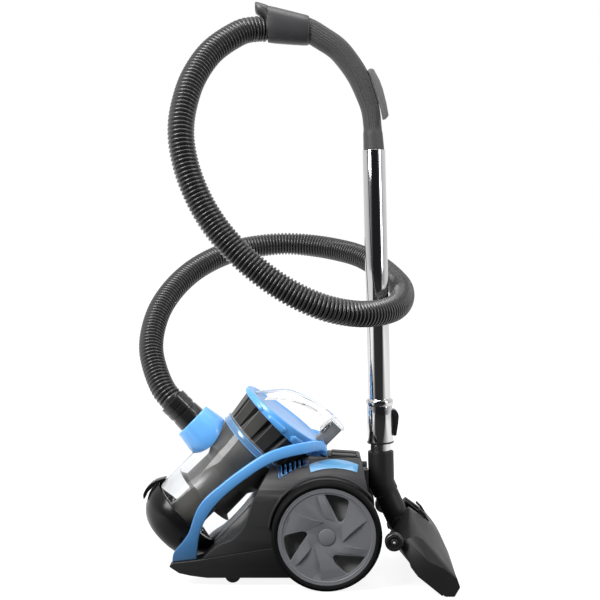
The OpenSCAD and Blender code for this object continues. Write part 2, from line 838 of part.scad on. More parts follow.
module filter_housing() {
    color([0.1, 0.1, 0.11]) intersection() {
        below_lid();
        cup_place() translate([0, 0, ring_s1]) difference() {
            cylinder(r1 = filter_r0, r2 = filter_r1, h = filter_h);
            translate([0, 0, 3]) cylinder(r1 = filter_r0 - 3, r2 = filter_r1 - 3, h = filter_h);
            translate([0, 0, -1]) cylinder(r = 32, h = 10);
        }
    }
}

pleats = 30;
pleat_h = 30;

module pleated_filter() {
    color([0.92, 0.92, 0.88]) cup_place() translate([0, 0, ring_s1 + 3]) difference() {
        linear_extrude(pleat_h) polygon([for (k = [0 : 2 * pleats - 1])
            (k % 2 == 0 ? 56 : 50) * [cos(180 * k / pleats), sin(180 * k / pleats)]]);
        translate([0, 0, -1]) cylinder(r = 44, h = 60);
    }
}

lid_foot_r = lid_r - 6.5;

module top_lid() {
    color([0.3, 0.6, 0.95]) lid_place() rotate_extrude() polygon([[0, 0], [lid_r - 4, 0],
        [lid_r - 1, -1], [lid_r, -3.5], [lid_r - 1.5, -8], [lid_foot_r, -lid_t],
        [lid_foot_r - 3, -lid_t], [lid_foot_r - 1.5, -5], [lid_r - 11, -3], [0, -3]]);
}

handle_outer = curve([[-60, 164], [-44, 183], [-27, 202], [-2, 214], [30, 223], [56, 226], [72, 226]], 4);
handle_inner = curve([[50, 196], [48, 208], [34, 212], [8, 204], [-19, 190], [-38, 172], [-44, 165]], 4);

module carry_handle() {
    color([0.85, 0.88, 0.9, 0.4]) difference() {
        intersection() {
            cup_place() across(-handle_w / 2, handle_w / 2)
                polygon(concat(handle_outer, [[78, 223], [78, 219], [53, 219], [53, 196]], handle_inner));
            above_lid();
        }
        cup_place() post_space(seat);
    }
}

post_p0 = 57;
post_p1 = 76;
post_top = 221;
post_half = 13;

module post_space(grow) {
    translate([post_p0 - grow, -post_half - grow, 150])
        cube([post_p1 - post_p0 + 2 * grow, 2 * (post_half + grow), post_top + grow - 150]);
}

// Post at the rear of the lid that carries the handle and the release button
module release_post() {
    color([0.33, 0.34, 0.35]) difference() {
        intersection() {
            cup_place() post_space(0);
            above_lid();
        }
        cup_place() button_space(play);
    }
}

button_travel = 3;
button_s = 193;
button_half = 8;
button_h = 18;

module button_space(grow) {
    translate([post_p0 - 4, -button_half - grow, button_s - grow])
        cube([8 + button_travel + grow, 2 * (button_half + grow), button_h + 2 * grow]);
}

module release_button() {
    color([0.5, 0.52, 0.54]) cup_place() translate([post_p0 - 3, -button_half, button_s])
        cube([7, 2 * button_half, button_h]);
}

// ---- air inlet of the cup ----

module inlet_collar() {
    color([0.3, 0.6, 0.95]) difference() {
        inlet_place() difference() {
            union() {
                translate([0, 0, 40]) cylinder(r = 35.5, h = 28);
                translate([0, 0, 68]) cylinder(r1 = 35.5, r2 = 30.5, h = inlet_mouth_p - 68);
            }
            cylinder(r = inlet_bore_r, h = 120);
        }
        cup_place() cylinder(r = cup_r + seat, h = 160);
    }
}

module hose_cuff() {
    color([0.1, 0.1, 0.1]) inlet_place() difference() {
        union() {
            translate([0, 0, inlet_mouth_p + seat])
                cylinder(r1 = 23.5, r2 = hose_d / 2, h = cuff_end_p - inlet_mouth_p - seat);
            translate([0, 0, inlet_mouth_p - 24]) cylinder(r = inlet_bore_r - 0.1, h = 26);
        }
        translate([0, 0, 60]) cylinder(r = 16.5, h = 100);
    }
}

// ---- hose ----

hose_r = hose_d / 2;
hose_path = [[-46, 0, 838], [-64, -6, 837], [-88, -19, 829], [-126, -50, 798], [-151, -85, 755],
    [-163, -110, 711], [-166, -124, 674], [-161, -132, 637], [-149, -139, 599], [-129, -146, 559],
    [-104, -153, 524], [-73, -159, 492], [-37, -163, 463], [1, -164, 440], [41, -158, 423],
    [80, -142, 414], [114, -113, 412], [144, -70, 416], [160, -15, 426], [164, 45, 440],
    [155, 105, 454], [138, 165, 469], [108, 220, 486], [71, 262, 496], [26, 290, 503],
    [-21, 299, 506], [-69, 289, 502], [-113, 265, 493], [-150, 232, 478], [-181, 195, 458],
    [-206, 154, 432], [-223, 115, 403], [-231, 81, 372], [-231, 52, 342], [-222, 29, 313],
    [-208, 9, 286], [-194, 0, 270]];
hose_end = [-sin(cup_tilt), 0, cos(cup_tilt)];
hose_line = curve(hose_path, 2);

module hose() {
    color([0.16, 0.16, 0.17]) sweep(concat(hose_line, [inlet_end_point]),
        [for (i = [0 : len(hose_line)]) hose_r], 12, [-1, 0, 0], -hose_end);
}

// Centre of the cuff's free end
inlet_end_point = [cup_x, 0, cup_z] + inlet_s * [sin(cup_tilt), 0, cos(cup_tilt)] + cuff_end_p * hose_end;

// ---- handle, drawn from the top of the wand ----

wand_top = [wand_x - outer_len * sin(wand_lean), 0, wand_z + outer_len * cos(wand_lean)];

module handle_place() { translate(wand_top) children(); }

sleeve_x0 = -163.2;
sleeve_x1 = -102.2;
sleeve_z = 183.2;
sleeve_r = hose_r + 1;
sleeve_bore_r = 14;
beak_half = 15.5;
beak = [[-178.5, 206.5], [-181.5, 213.5], [-178.2, 221.2], [-160, 219], [-143, 214.8],
    [-102.2, 203.5], [-102.2, 192], [-156, 196], [-159.5, 201.5], [-165.6, 206.3], [-172.6, 206]];

// Sleeve that joins the hose to the grip, with a beak that points forwards
module handle_sleeve() {
    color([0.3, 0.3, 0.31]) handle_place() difference() {
        union() {
            translate([sleeve_x0, 0, sleeve_z]) rotate([0, 90, 0])
                cylinder(r = sleeve_r, h = sleeve_x1 - sleeve_x0);
            across(-beak_half, beak_half) polygon(beak);
        }
        translate([sleeve_x0 - 1, 0, sleeve_z]) rotate([0, 90, 0])
            cylinder(r = sleeve_bore_r, h = sleeve_x1 - sleeve_x0 + 2);
    }
}

// Centre line and half thickness of the curved grip
grip_path = [[-102, 0, 182.2], [-79.7, 0, 169.2], [-56.9, 0, 153.7], [-39.5, 0, 133.7],
    [-25, 0, 111.7], [-13.6, 0, 84.6], [-5.7, 0, 60.2], [-2.2, 0, 31.2], [-0.3, 0, 3.7]];
grip_radius = [18.5, 18.4, 18, 17.5, 17, 15.5, 14.6, 14, 15.6];
grip_wall = 3;
grip_start = [1, 0, 0];
wand_down = [sin(wand_lean), 0, -cos(wand_lean)];

module grip_tube(inset, sides) {
    radius = curve([for (r = grip_radius) [r - inset, 0]], 4);
    handle_place() sweep(curve(grip_path, 4), [for (r = radius) r[0]], sides, grip_start, wand_down);
}

module handle_grip() {
    color([0.33, 0.33, 0.34]) difference() {
        union() {
            difference() {
                grip_tube(0, 24);
                handle_place() translate([sleeve_x1 - 60, -50, 130]) cube([60 + seat, 100, 100]);
            }
            wand_place() translate([0, 0, outer_len + seat / 2]) cylinder(r = tube_r, h = 3);
            wand_place() translate([0, 0, outer_len - spigot_len])
                cylinder(r = tube_r - tube_wall - 0.1, h = spigot_len + 4);
        }
        grip_tube(grip_wall, 16);
        wand_place() translate([0, 0, outer_len - spigot_len - 1])
            cylinder(r = tube_r - tube_wall - grip_wall, h = spigot_len + 8);
    }
}

// Cover that slides over the air-bleed slot on the grip's outer side
slider_half = 8;
slider_lean = 17.6;

module slider_place() {
    handle_place() translate([1.7, 0, 88.5]) rotate([0, -slider_lean, 0]) children();
}

module bleed_slider() {
    color([0.42, 0.43, 0.44]) slider_place() across(-slider_half, slider_half)
        polygon([[-1.4, 34.7], [-0.3, 25], [0.3, 15], [0.3, -20], [0, -30], [-1.5, -43.9],
            [2.8, -44.5], [8.3, -41.1], [10.7, -21.7], [11.9, 0], [11.1, 14.7], [7.6, 32.7], [3.6, 35.5]]);
}

// ---- telescopic wand ----

module outer_tube() {
    color([0.8, 0.8, 0.82]) wand_place() translate([0, 0, 20])
        ring(tube_r, tube_r - tube_wall, outer_len - 20);
}

module lock_collar() {
    color([0.75, 0.75, 0.77]) wand_place() difference() {
        cylinder(r = collar_r, h = collar_len);
        translate([0, 0, 20]) cylinder(r = tube_r + run, h = collar_len);
        translate([0, 0, -1]) cylinder(r = inner_r + run, h = 30);
        translate([collar_r - 1.5, -lock_half - play, 6])
            cube([20, 2 * (lock_half + play), collar_len - 14]);
    }
}

lock_half = 9;
lock_z0 = 10;
lock_len = 41;
lock_out = 29;

module tube_lock() {
    color([0.12, 0.12, 0.12]) wand_place() across(-lock_half, lock_half)
        polygon([[collar_r - 1, lock_z0], [lock_out - 4.5, lock_z0 + 0.5], [lock_out - 1.5, lock_z0 + 18],
            [lock_out, lock_z0 + 31], [lock_out - 1.5, lock_z0 + 36], [lock_out - 4.5, lock_z0 + lock_len - 1],
            [collar_r - 1, lock_z0 + lock_len]]);
}

module inner_tube() {
    color([0.8, 0.8, 0.82]) wand_place() translate([0, 0, -stub_len - stub_in])
        ring(inner_r, inner_r - tube_wall, inner_top + stub_len + stub_in);
}

// ---- neck between the wand and the floor head ----

swivel_depth = 12;
swivel_r = elbow_r - 3;
neck_bore_r = 13;

module neck_cuff() {
    color([0.2, 0.2, 0.21]) difference() {
        union() {
            wand_place() translate([0, 0, -bend_down]) cylinder(r = neck_r, h = bend_down - stub_len);
            wand_place() translate([0, 0, -bend_down]) sphere(r = neck_r + 0.3);
            elbow_place() translate([0, 0, -bend_up]) cylinder(r = neck_r, h = bend_up);
            neck_rib();
        }
        wand_place() translate([0, 0, -stub_len - stub_in]) cylinder(r = inner_r, h = stub_in + 1);
        wand_place() translate([0, 0, -bend_down - 6]) cylinder(r = neck_bore_r, h = bend_down - 4);
        elbow_place() translate([0, 0, -swivel_depth]) cylinder(r = swivel_r + run, h = swivel_depth + 1);
        elbow_place() translate([0, 0, -bend_up - 6]) cylinder(r = neck_bore_r - 0.5, h = bend_up);
    }
}

// Rib on the cuff that hooks into the parking clip
module neck_rib() {
    translate([clip_x1 - rib_depth, -rib_half, clip_z0 + 6 + play]) cube([rib_depth + 4, 2 * rib_half, 24]);
}

module neck_elbow() {
    color([0.2, 0.2, 0.21]) elbow_place() difference() {
        union() {
            translate([0, 0, play]) cylinder(r = elbow_r, h = elbow_len - play);
            translate([0, 0, -swivel_depth + play]) cylinder(r = swivel_r, h = swivel_depth);
            translate([0, knuckle_half, elbow_len]) rotate([90, 0, 0])
                cylinder(r = knuckle_r, h = 2 * knuckle_half);
        }
        translate([0, 0, -swivel_depth]) cylinder(r = 13, h = elbow_len + swivel_depth - knuckle_r + 4);
        translate([0, 60, elbow_len]) rotate([90, 0, 0]) cylinder(r = pin_r + run, h = 120);
        // bevels that clear the slot's floor
        both_sides() translate([-30, elbow_r, elbow_len - 30]) cube([60, 10, 14]);
    }
}

// ---- floor head, drawn with its pivot at the origin and its nose along X ----

nose = [[89, head_floor], [99.5, -15], [97, 1]];
hump = curve([[92, 6.5], [76, 17], [57, 26], [40, 31], [19, 34], [-12.8, 32.5]], 2);
head_heel = -9;
end_top = curve([[90, 4], [74, 9], [40, 17], [14, 18], [2, 14], [-3, 4]], 2);

module head_middle() {
    across(-cheek_half, cheek_half) polygon(concat([[head_heel, head_floor + 4], [-4, head_floor]],
        nose, hump));
}

module head_profile(half) {
    across(-half, half) polygon(concat([[-3, -10], [4, -15], [28, head_floor]], nose, end_top));
}

// The nose takes the full width, and the rear corners are cut back by head_corner
head_corner = 25;

module head_ends(half) {
    hull() {
        across(-half, half) polygon(concat([[36, head_floor]], nose, [[86, 8], [62, 8.5], [39, 2]]));
        head_profile(half - head_corner);
    }
}

module head_solid() {
    hull() {
        head_middle();
        head_profile(head_w / 2 - 34);
    }
    head_ends(head_w / 2);
}

module head_cavity() {
    full = head_w / 2 - head_wall;
    hull() {
        across(-full, full) polygon([[37.3, head_floor - 1], [86, head_floor - 1], [93, -12], [91, 0],
            [84, 4.5], [62, 5.5], [42, 0]]);
        across(-full + head_corner, full - head_corner) polygon([[28, head_floor - 1],
            [86, head_floor - 1], [93, -12], [91, 0], [74, 5], [40, 13], [14, 14], [4, 8], [2, -8], [8, -13]]);
    }
    across(-cheek_half + head_wall, cheek_half - head_wall)
        polygon([[-5, head_floor - 1], [86, head_floor - 1], [90, -2], [70, 11], [37, 25.5], [16, 29],
            [-8, 28.5]]);
}

// Room for the elbow as the head tilts
module neck_slot() {
    across(-slot_half, slot_half) {
        translate([-60, -40]) square([60 + elbow_r + 1.5, 100]);
        circle(r = elbow_r + 1.5);
    }
}

module head_pin_bores(r) {
    translate([0, 80, 0]) rotate([90, 0, 0]) cylinder(r = r, h = 160);
}

wheel_lug_y = head_w / 2 - 31;
head_wheel_y = head_w / 2 - 25;
head_wheel_w = 15;
head_axle_r = 2.5;

module wheel_lugs() {
    both_sides() across(wheel_lug_y, wheel_lug_y + 5) difference() {
        union() {
            translate([head_wheel_at[0], head_wheel_at[2]]) circle(r = 7);
            polygon([[head_wheel_at[0], head_wheel_at[2] + 7], [3, 4], [6, -12], [head_wheel_at[0],
                head_wheel_at[2] - 7]]);
        }
        translate([head_wheel_at[0], head_wheel_at[2]]) circle(r = head_axle_r);
    }
}

module head_shell() {
    color([0.14, 0.14, 0.15]) head_place() difference() {
        union() {
            difference() {
                head_solid();
                head_cavity();
                neck_slot();
                pedal_cut();
            }
            pin_cheeks();
            wheel_lugs();
        }
        head_pin_bores(pin_r);
    }
}

// Cheeks that hold the head's pivot pin, one on each side of the neck
module pin_cheeks() {
    both_sides() across(slot_half, slot_half + 3) intersection() {
        polygon([[head_heel, head_floor + 4], [-4, head_floor + 3], [30, head_floor + 3], [30, 20],
            [-9, 20]]);
        circle(r = 30);
    }
}

pedal_half = slot_half + 9;
pedal_z = 34;

module pedal_cut() {
    across(-pedal_half - play, pedal_half + play) polygon([[-20, pedal_z - 3], [28, pedal_z - 3],
        [28, 60], [-20, 60]]);
}

sole_half = head_w / 2 - head_wall - 3 * seat;

module head_sole() {
    color([0.1, 0.1, 0.1]) head_place() difference() {
        translate([0, 0, head_floor]) linear_extrude(3) hull() both_sides()
            polygon([[29, 0], [85.5, 0], [85.5, sole_half], [39, sole_half], [29, sole_half - 27]]);
        across(-head_w / 2 + 24, head_w / 2 - 24) translate([48, head_floor - 1]) square([16, 6]);
        brush_slots(play / 2);
    }
}

brush_half = head_w / 2 - 30;
brush_travel = 4;

module brush_slots(grow) {
    across(-brush_half - grow, brush_half + grow) for (x = [36, 74])
        translate([x - grow, head_floor - 1]) square([4 + 2 * grow, 12]);
}

// Two brush strips that drop below the sole on one carrier
module head_brush() {
    color([0.25, 0.25, 0.26]) head_place() {
        across(-brush_half, brush_half) for (x = [36, 74]) translate([x, head_floor + 0.5]) square([4, 9]);
        both_sides() across(brush_half - 6, brush_half) translate([36, head_floor + 9]) square([42, 3]);
    }
}

// Foot pedal around the neck that drops the brush
module brush_pedal() {
    color([0.2, 0.2, 0.21]) head_place() difference() {
        across(-pedal_half, pedal_half) polygon([[2, pedal_z + 3.5], [2, pedal_z + 6.5],
            [13, pedal_z + 5.5], [25, pedal_z + 1],
            [26, pedal_z - 2], [18, pedal_z - 1.5], [12, pedal_z + 2.5]]);
        across(-slot_half, slot_half) translate([-10, 20]) square([10 + elbow_r + 1.5, 40]);
    }
}

module head_pins() {
    color("silver") head_place() both_sides() translate([0, slot_half + 3, 0]) rotate([90, 0, 0])
        cylinder(r = pin_r, h = 12);
}

module head_wheels() {
    color([0.1, 0.1, 0.1]) head_place() both_sides()
        translate([head_wheel_at[0], head_wheel_y + head_wheel_w, head_wheel_at[2]]) rotate([90, 0, 0]) {
            difference() {
                rotate_extrude() polygon([[0, 0], [head_wheel_r - 2, 0], [head_wheel_r, 2],
                    [head_wheel_r, head_wheel_w - 2], [head_wheel_r - 2, head_wheel_w], [0, head_wheel_w]]);
                translate([0, 0, -1]) ring(head_wheel_r - 3, 5, 2.5);
            }
            cylinder(r = head_axle_r - run, h = head_wheel_w + 6);
        }
}

lower_chassis();
main_housing();
left_side_panel();
right_side_panel();
arch_band();
top_panel();
side_vents();
trim_strips();
parking_clip();
exhaust_grille();
exhaust_filter();
cord_outlet();
housing_screws();
power_pedal();
rewind_pedal();
motor_shell();
motor_core();
motor_rotor();
cord_reel();
wheel_axles();
left_wheel_disc();
left_tyre();
left_hub_cap();
right_wheel_disc();
right_tyre();
right_hub_cap();
left_caster_fork();
left_caster_wheel();
right_caster_fork();
right_caster_wheel();
dust_cup();
base_lid();
cup_latch();
cyclone_body();
dust_tube();
cup_ring();
filter_housing();
pleated_filter();
top_lid();
carry_handle();
release_post();
release_button();
inlet_collar();
hose_cuff();
hose();
handle_sleeve();
handle_grip();
bleed_slider();
outer_tube();
lock_collar();
tube_lock();
inner_tube();
neck_cuff();
neck_elbow();
head_shell();
head_sole();
head_brush();
brush_pedal();
head_pins();
head_wheels();
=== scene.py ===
# %% [markdown]
# # A canister vacuum cleaner, parked upright
# The frame that is loaded here holds every rigid piece at its real size: housing, wheels, dust cup,
# wand and floor head. This script gives those pieces their finish, and builds again in more
# detail the ones whose beauty is in a soft shape: the ribbed hose, the handle, the lid, the floor head.

# %% Load the frame
import json
import math
import bmesh
import bpy
from mathutils import Matrix, Vector

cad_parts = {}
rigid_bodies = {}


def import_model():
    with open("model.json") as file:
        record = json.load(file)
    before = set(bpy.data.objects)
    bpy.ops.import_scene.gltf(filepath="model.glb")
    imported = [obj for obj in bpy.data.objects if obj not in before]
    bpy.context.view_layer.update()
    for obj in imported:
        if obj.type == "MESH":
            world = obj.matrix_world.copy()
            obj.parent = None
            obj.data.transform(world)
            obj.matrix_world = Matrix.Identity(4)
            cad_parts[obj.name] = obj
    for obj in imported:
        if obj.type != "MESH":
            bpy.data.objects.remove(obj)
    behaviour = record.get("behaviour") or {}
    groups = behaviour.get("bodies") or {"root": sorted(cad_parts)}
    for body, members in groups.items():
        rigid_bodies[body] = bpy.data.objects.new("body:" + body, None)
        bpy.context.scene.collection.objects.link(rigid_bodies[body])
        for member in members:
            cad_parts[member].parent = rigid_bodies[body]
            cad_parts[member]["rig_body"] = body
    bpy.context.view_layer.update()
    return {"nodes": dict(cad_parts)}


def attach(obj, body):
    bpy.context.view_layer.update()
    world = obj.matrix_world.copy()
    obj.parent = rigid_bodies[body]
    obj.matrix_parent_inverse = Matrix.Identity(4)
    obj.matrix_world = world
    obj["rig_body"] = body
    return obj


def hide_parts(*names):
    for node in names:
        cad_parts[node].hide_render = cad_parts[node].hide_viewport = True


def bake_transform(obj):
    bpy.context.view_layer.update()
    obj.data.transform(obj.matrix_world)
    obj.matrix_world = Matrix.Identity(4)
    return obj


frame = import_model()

MM = 0.001

# %% [markdown]
# ## Camera
# A long lens far away keeps the tall wand straight. The camera stands level with the middle of the
# machine and looks a little down on it, so the top of the lid just shows.

# %% Camera
CAMERA_AT = Vector((0.005, -2.0, 0.547))
LOOK_DOWN = math.radians(3.5)
SENSOR = 36.0
LENS_PER_SENSOR = 2.1645  # frames the whole machine, from the grip to the floor head

camera_data = bpy.data.cameras.new("camera")
camera_data.sensor_width = SENSOR
camera_data.lens = SENSOR * LENS_PER_SENSOR
camera = bpy.data.objects.new("camera", camera_data)
camera.location = CAMERA_AT
camera.rotation_euler = (math.radians(90) - LOOK_DOWN, 0, 0)
bpy.context.scene.collection.objects.link(camera)
bpy.context.scene.camera = camera
print("camera field of view:", round(math.degrees(camera_data.angle), 1), "degrees")

# %% [markdown]
# ## Places to build in
# Several parts of the machine lean: the cup by 45 degrees, the inlet across it, the wand by 1.5, the
# elbow and the floor head by more. Each gets a matrix, so that its pieces can be drawn upright and
# then put in place.

# %% Places
def leaning(origin_mm, degrees):
    """A frame at origin_mm, turned about Y, so that its Z axis leans towards +X."""
    return Matrix.Translation(Vector(origin_mm) * MM) @ Matrix.Rotation(math.radians(degrees), 4, "Y")


ELBOW_LEAN = 24.8
ELBOW_LENGTH = 55
HEAD_LEAN = 39
CUP = leaning((-139, 0, 123), 45)
INLET = CUP @ leaning((0, 0, 65), -90)
WAND = leaning((130, 0, 204), -1.5)
ELBOW = leaning((138.9, 0, 125.2), 180 - ELBOW_LEAN)
pivot = ELBOW @ Vector((0, 0, ELBOW_LENGTH * MM))
HEAD = Matrix.Translation(pivot) @ Matrix.Rotation(math.radians(HEAD_LEAN), 4, "Y")
print("head pivot, mm:", [round(v / MM, 1) for v in pivot])


def smooth_line(points, steps):
    """Catmull-Rom curve through the points, with that many steps to a span."""
    pts = [Vector(p) for p in points]
    line = []
    for i in range(len(pts) - 1):
        a, b, c, d = pts[max(i - 1, 0)], pts[i], pts[i + 1], pts[min(i + 2, len(pts) - 1)]
        for k in range(steps):
            t = k / steps
            line.append(0.5 * (2 * b + (c - a) * t + (2 * a - 5 * b + 4 * c - d) * t ** 2
                               + (3 * b - a - 3 * c + d) * t ** 3))
    return line + [pts[-1]]


# %% [markdown]
# ## Shared effects for the finishes
# Moulded plastic is never quite even. Its colour drifts a little over a hand's width, its surface
# has a fine grain, and handling leaves soft patches that shine less. One node group makes these three
# from noise on Object coordinates, and every plastic uses it with its own values. The group also
# paints shade: where a piece's floor shade value is below 1, it darkens the piece towards the floor.

# %% Node helpers
def add_node(tree, kind, **settings):
    """A new node of that kind, with its properties set."""
    node = tree.nodes.new(kind)
    for key, value in settings.items():
        setattr(node, key, value)
    return node


def noise(tree, vector, scale, detail=3.0, roughness=0.5):
    """Noise texture on the vector; gives its factor."""
    node = add_node(tree, "ShaderNodeTexNoise")
    node.inputs["Scale"].default_value = scale
    node.inputs["Detail"].default_value = detail
    node.inputs["Roughness"].default_value = roughness
    tree.links.new(vector, node.inputs["Vector"])
    return node.outputs["Fac"]


def spread(tree, value, low, high, to_low=0.0, to_high=1.0):
    """Map Range: low..high of the value becomes to_low..to_high."""
    node = add_node(tree, "ShaderNodeMapRange")
    for name, number in (("From Min", low), ("From Max", high),
                         ("To Min", to_low), ("To Max", to_high)):
        node.inputs[name].default_value = number
    tree.links.new(value, node.inputs["Value"])
    return node.outputs["Result"]


def maths(tree, operation, a, b):
    """Math node; a and b are numbers or sockets."""
    node = add_node(tree, "ShaderNodeMath", operation=operation)
    for socket, value in zip(node.inputs, (a, b)):
        if isinstance(value, (int, float)):
            socket.default_value = value
        else:
            tree.links.new(value, socket)
    return node.outputs[0]


def new_group(name, inputs, outputs):
    """An empty node group with its sockets, its input node and its output node."""
    tree = bpy.data.node_groups.new(name, "ShaderNodeTree")
    for socket_name, kind, default in inputs:
        socket = tree.interface.new_socket(socket_name, in_out="INPUT", socket_type=kind)
        if default is not None:
            socket.default_value = default
    for socket_name, kind in outputs:
        tree.interface.new_socket(socket_name, in_out="OUTPUT", socket_type=kind)
    return tree, add_node(tree, "NodeGroupInput"), add_node(tree, "NodeGroupOutput")


# %% The moulded surface group
# Painted shade: below the first height a piece with a floor shade value under 1 is fully darkened,
# above the second not at all.
PAINTED_SHADE_FROM, PAINTED_SHADE_TO = 0.03, 0.21  # heights in metres between which a piece darkens to its foot shade


def moulded_surface_group():
    tree, entry, leave = new_group(
        "moulded surface",
        [("Color", "NodeSocketColor", (0.5, 0.5, 0.5, 1)), ("Colour drift", "NodeSocketFloat", 0.1),
         ("Foot", "NodeSocketFloat", 1.0),
         ("Roughness", "NodeSocketFloat", 0.4), ("Handling", "NodeSocketFloat", 0.1),
         ("Grain scale", "NodeSocketFloat", 900.0), ("Grain height", "NodeSocketFloat", 0.1)],
        [("Color", "NodeSocketColor"), ("Roughness", "NodeSocketFloat"),
         ("Normal", "NodeSocketVector")])
    place = add_node(tree, "ShaderNodeTexCoord").outputs["Object"]
    drift = spread(tree, noise(tree, place, 9.0, 2.0), 0.3, 0.7, -1.0, 1.0)
    value = maths(tree, "ADD", maths(tree, "MULTIPLY", drift, entry.outputs["Colour drift"]), 1.0)
    # Painted shade: the colour darkens towards the floor.
    height = add_node(tree, "ShaderNodeSeparateXYZ")
    tree.links.new(place, height.inputs[0])
    lift = spread(tree, height.outputs["Z"], PAINTED_SHADE_FROM, PAINTED_SHADE_TO)
    painted_floor_shade = maths(tree, "MULTIPLY", maths(tree, "SUBTRACT", 1.0, lift),
                 maths(tree, "SUBTRACT", 1.0, entry.outputs["Foot"]))
    value = maths(tree, "MULTIPLY", value, maths(tree, "SUBTRACT", 1.0, painted_floor_shade))
    shade = add_node(tree, "ShaderNodeHueSaturation")
    tree.links.new(entry.outputs["Color"], shade.inputs["Color"])
    tree.links.new(value, shade.inputs["Value"])
    tree.links.new(shade.outputs["Color"], leave.inputs["Color"])
    smears = spread(tree, noise(tree, place, 26.0, 4.0, 0.6), 0.42, 0.75)
    rough = maths(tree, "ADD", entry.outputs["Roughness"],
                  maths(tree, "MULTIPLY", smears, entry.outputs["Handling"]))
    tree.links.new(rough, leave.inputs["Roughness"])
    grain = add_node(tree, "ShaderNodeTexNoise")
    grain.inputs["Detail"].default_value = 2.0
    tree.links.new(place, grain.inputs["Vector"])
    tree.links.new(entry.outputs["Grain scale"], grain.inputs["Scale"])
    bump = add_node(tree, "ShaderNodeBump")
    bump.inputs["Distance"].default_value = 0.0004
    tree.links.new(entry.outputs["Grain height"], bump.inputs["Strength"])
    tree.links.new(grain.outputs["Fac"], bump.inputs["Height"])
    tree.links.new(bump.outputs["Normal"], leave.inputs["Normal"])
    return tree


MOULDED = moulded_surface_group()


def moulded(name, color, rough, drift=0.06, handling=0.08, grain=0.12, grain_scale=900.0,
            coat=0.0, specular=0.5, foot=1.0):
    """A plastic or rubber, uneven by the shared group. Its foot value is the share of its colour left
    at the floor under painted shade; 1 paints none.
    """
    material = bpy.data.materials.new(name)
    material.use_nodes = True
    tree = material.node_tree
    shader = tree.nodes["Principled BSDF"]
    group = add_node(tree, "ShaderNodeGroup", node_tree=MOULDED)
    for key, value in (("Color", (*color, 1)), ("Colour drift", drift), ("Foot", foot),
                       ("Roughness", rough), ("Handling", handling), ("Grain scale", grain_scale),
                       ("Grain height", grain)):
        group.inputs[key].default_value = value
    tree.links.new(group.outputs["Color"], shader.inputs["Base Color"])
    tree.links.new(group.outputs["Roughness"], shader.inputs["Roughness"])
    tree.links.new(group.outputs["Normal"], shader.inputs["Normal"])
    shader.inputs["Coat Weight"].default_value = coat
    shader.inputs["Coat Roughness"].default_value = 0.06
    shader.inputs["Specular IOR Level"].default_value = specular
    return material


# %% [markdown]
# ## Plastics and rubber
# The housing is satin ABS with a fine spark-eroded grain, the blue trim is high-gloss ABS, the
# tyres are dull soft rubber. All come from the same function, so that they differ only by the
# numbers that a moulder would choose.

# %% Plastics
housing_plastic = moulded("housing_plastic", (0.024, 0.024, 0.026), 0.45, grain=0.25)
# The side panels get painted shade: darker towards the floor.
panel_plastic = moulded("panel_plastic", (0.034, 0.034, 0.035), 0.42, grain=0.2, specular=0.35,
                        foot=0.6)
chassis_plastic = moulded("chassis_plastic", (0.01, 0.01, 0.011), 0.45, grain=0.2, specular=0.4)
# Painted light: a grey lighter than the wheels, for the far walls deep inside the wheel windows.
window_wall_painted_light = moulded("window_wall_painted_light", (0.36, 0.36, 0.36), 0.7, grain=0.05, specular=0.1)
cover_plastic = moulded("cover_plastic", (0.012, 0.011, 0.011), 0.4, grain=0.2, specular=0.22)
# Also paints the highlights on the rounded edges of the side vents.
# The blue gloss pieces get strong painted shade: darker towards the floor.
blue_gloss = moulded("blue_gloss", (0.15, 0.47, 1.0), 0.24, drift=0.04, handling=0.05,
                     grain=0.03, coat=0.4, foot=0.2)
lid_blue = moulded("lid_blue", (0.1, 0.36, 0.8), 0.3, drift=0.04, handling=0.05, grain=0.03,
                   coat=0.15)
# Also paints the highlights on the lips of the cup ring.
strip_blue = moulded("strip_blue", (0.09, 0.28, 0.5), 0.18, drift=0.04, grain=0.03, coat=0.3)
vent_blue = moulded("vent_blue", (0.01, 0.035, 0.11), 0.3, grain=0.1)
smoke_blue = moulded("smoke_blue", (0.1, 0.2, 0.36), 0.2, drift=0.04, grain=0.02, coat=0.5)
# Also paints the highlight ring at the elbow's seam.
grip_grey = moulded("grip_grey", (0.062, 0.062, 0.062), 0.55, grain=0.02, specular=0.35)
sleeve_grey = moulded("sleeve_grey", (0.038, 0.038, 0.04), 0.4, grain=0.15)
# Also paints the highlights along the filter housing's creases.
slider_grey = moulded("slider_grey", (0.15, 0.15, 0.152), 0.42, grain=0.1)
post_grey = moulded("post_grey", (0.19, 0.185, 0.18), 0.45, grain=0.1)
black_gloss = moulded("black_gloss", (0.006, 0.006, 0.0065), 0.2, handling=0.1, grain=0.03,
                      specular=0.2)
cuff_black = moulded("cuff_black", (0.014, 0.0135, 0.013), 0.18, handling=0.1, grain=0.03, coat=0.4)
filter_plastic = moulded("filter_plastic", (0.03, 0.029, 0.027), 0.32, grain=0.08, specular=0.35)
black_satin = moulded("black_satin", (0.014, 0.014, 0.015), 0.34, grain=0.15)
hose_black = moulded("hose_black", (0.028, 0.028, 0.028), 0.24, handling=0.08, grain=0.03,
                     specular=0.6)
wheel_grey = moulded("wheel_grey", (0.178, 0.181, 0.197), 0.42, drift=0.03, grain=0.12)
tyre_rubber = moulded("tyre_rubber", (0.005, 0.005, 0.0052), 0.6, handling=0.15, grain=0.4,
                      grain_scale=600, specular=0.1)
head_black = moulded("head_black", (0.013, 0.013, 0.0135), 0.45, grain=0.2, specular=0.22)
smoke_black = moulded("smoke_black", (0.13, 0.124, 0.115), 0.3, drift=0.05, grain=0.04, coat=0.2)
pale_plastic = moulded("pale_plastic", (0.45, 0.46, 0.47), 0.4, grain=0.1)
foam = moulded("foam", (0.75, 0.74, 0.68), 0.9, drift=0.12, grain=0.9, grain_scale=350)

# %% [markdown]
# ## Metals
# The wand is chromed steel. Chrome is almost a mirror: what makes it read as metal is a
# nearly black and white reflection of the room, with a trace of fine drawing lines along the tube.

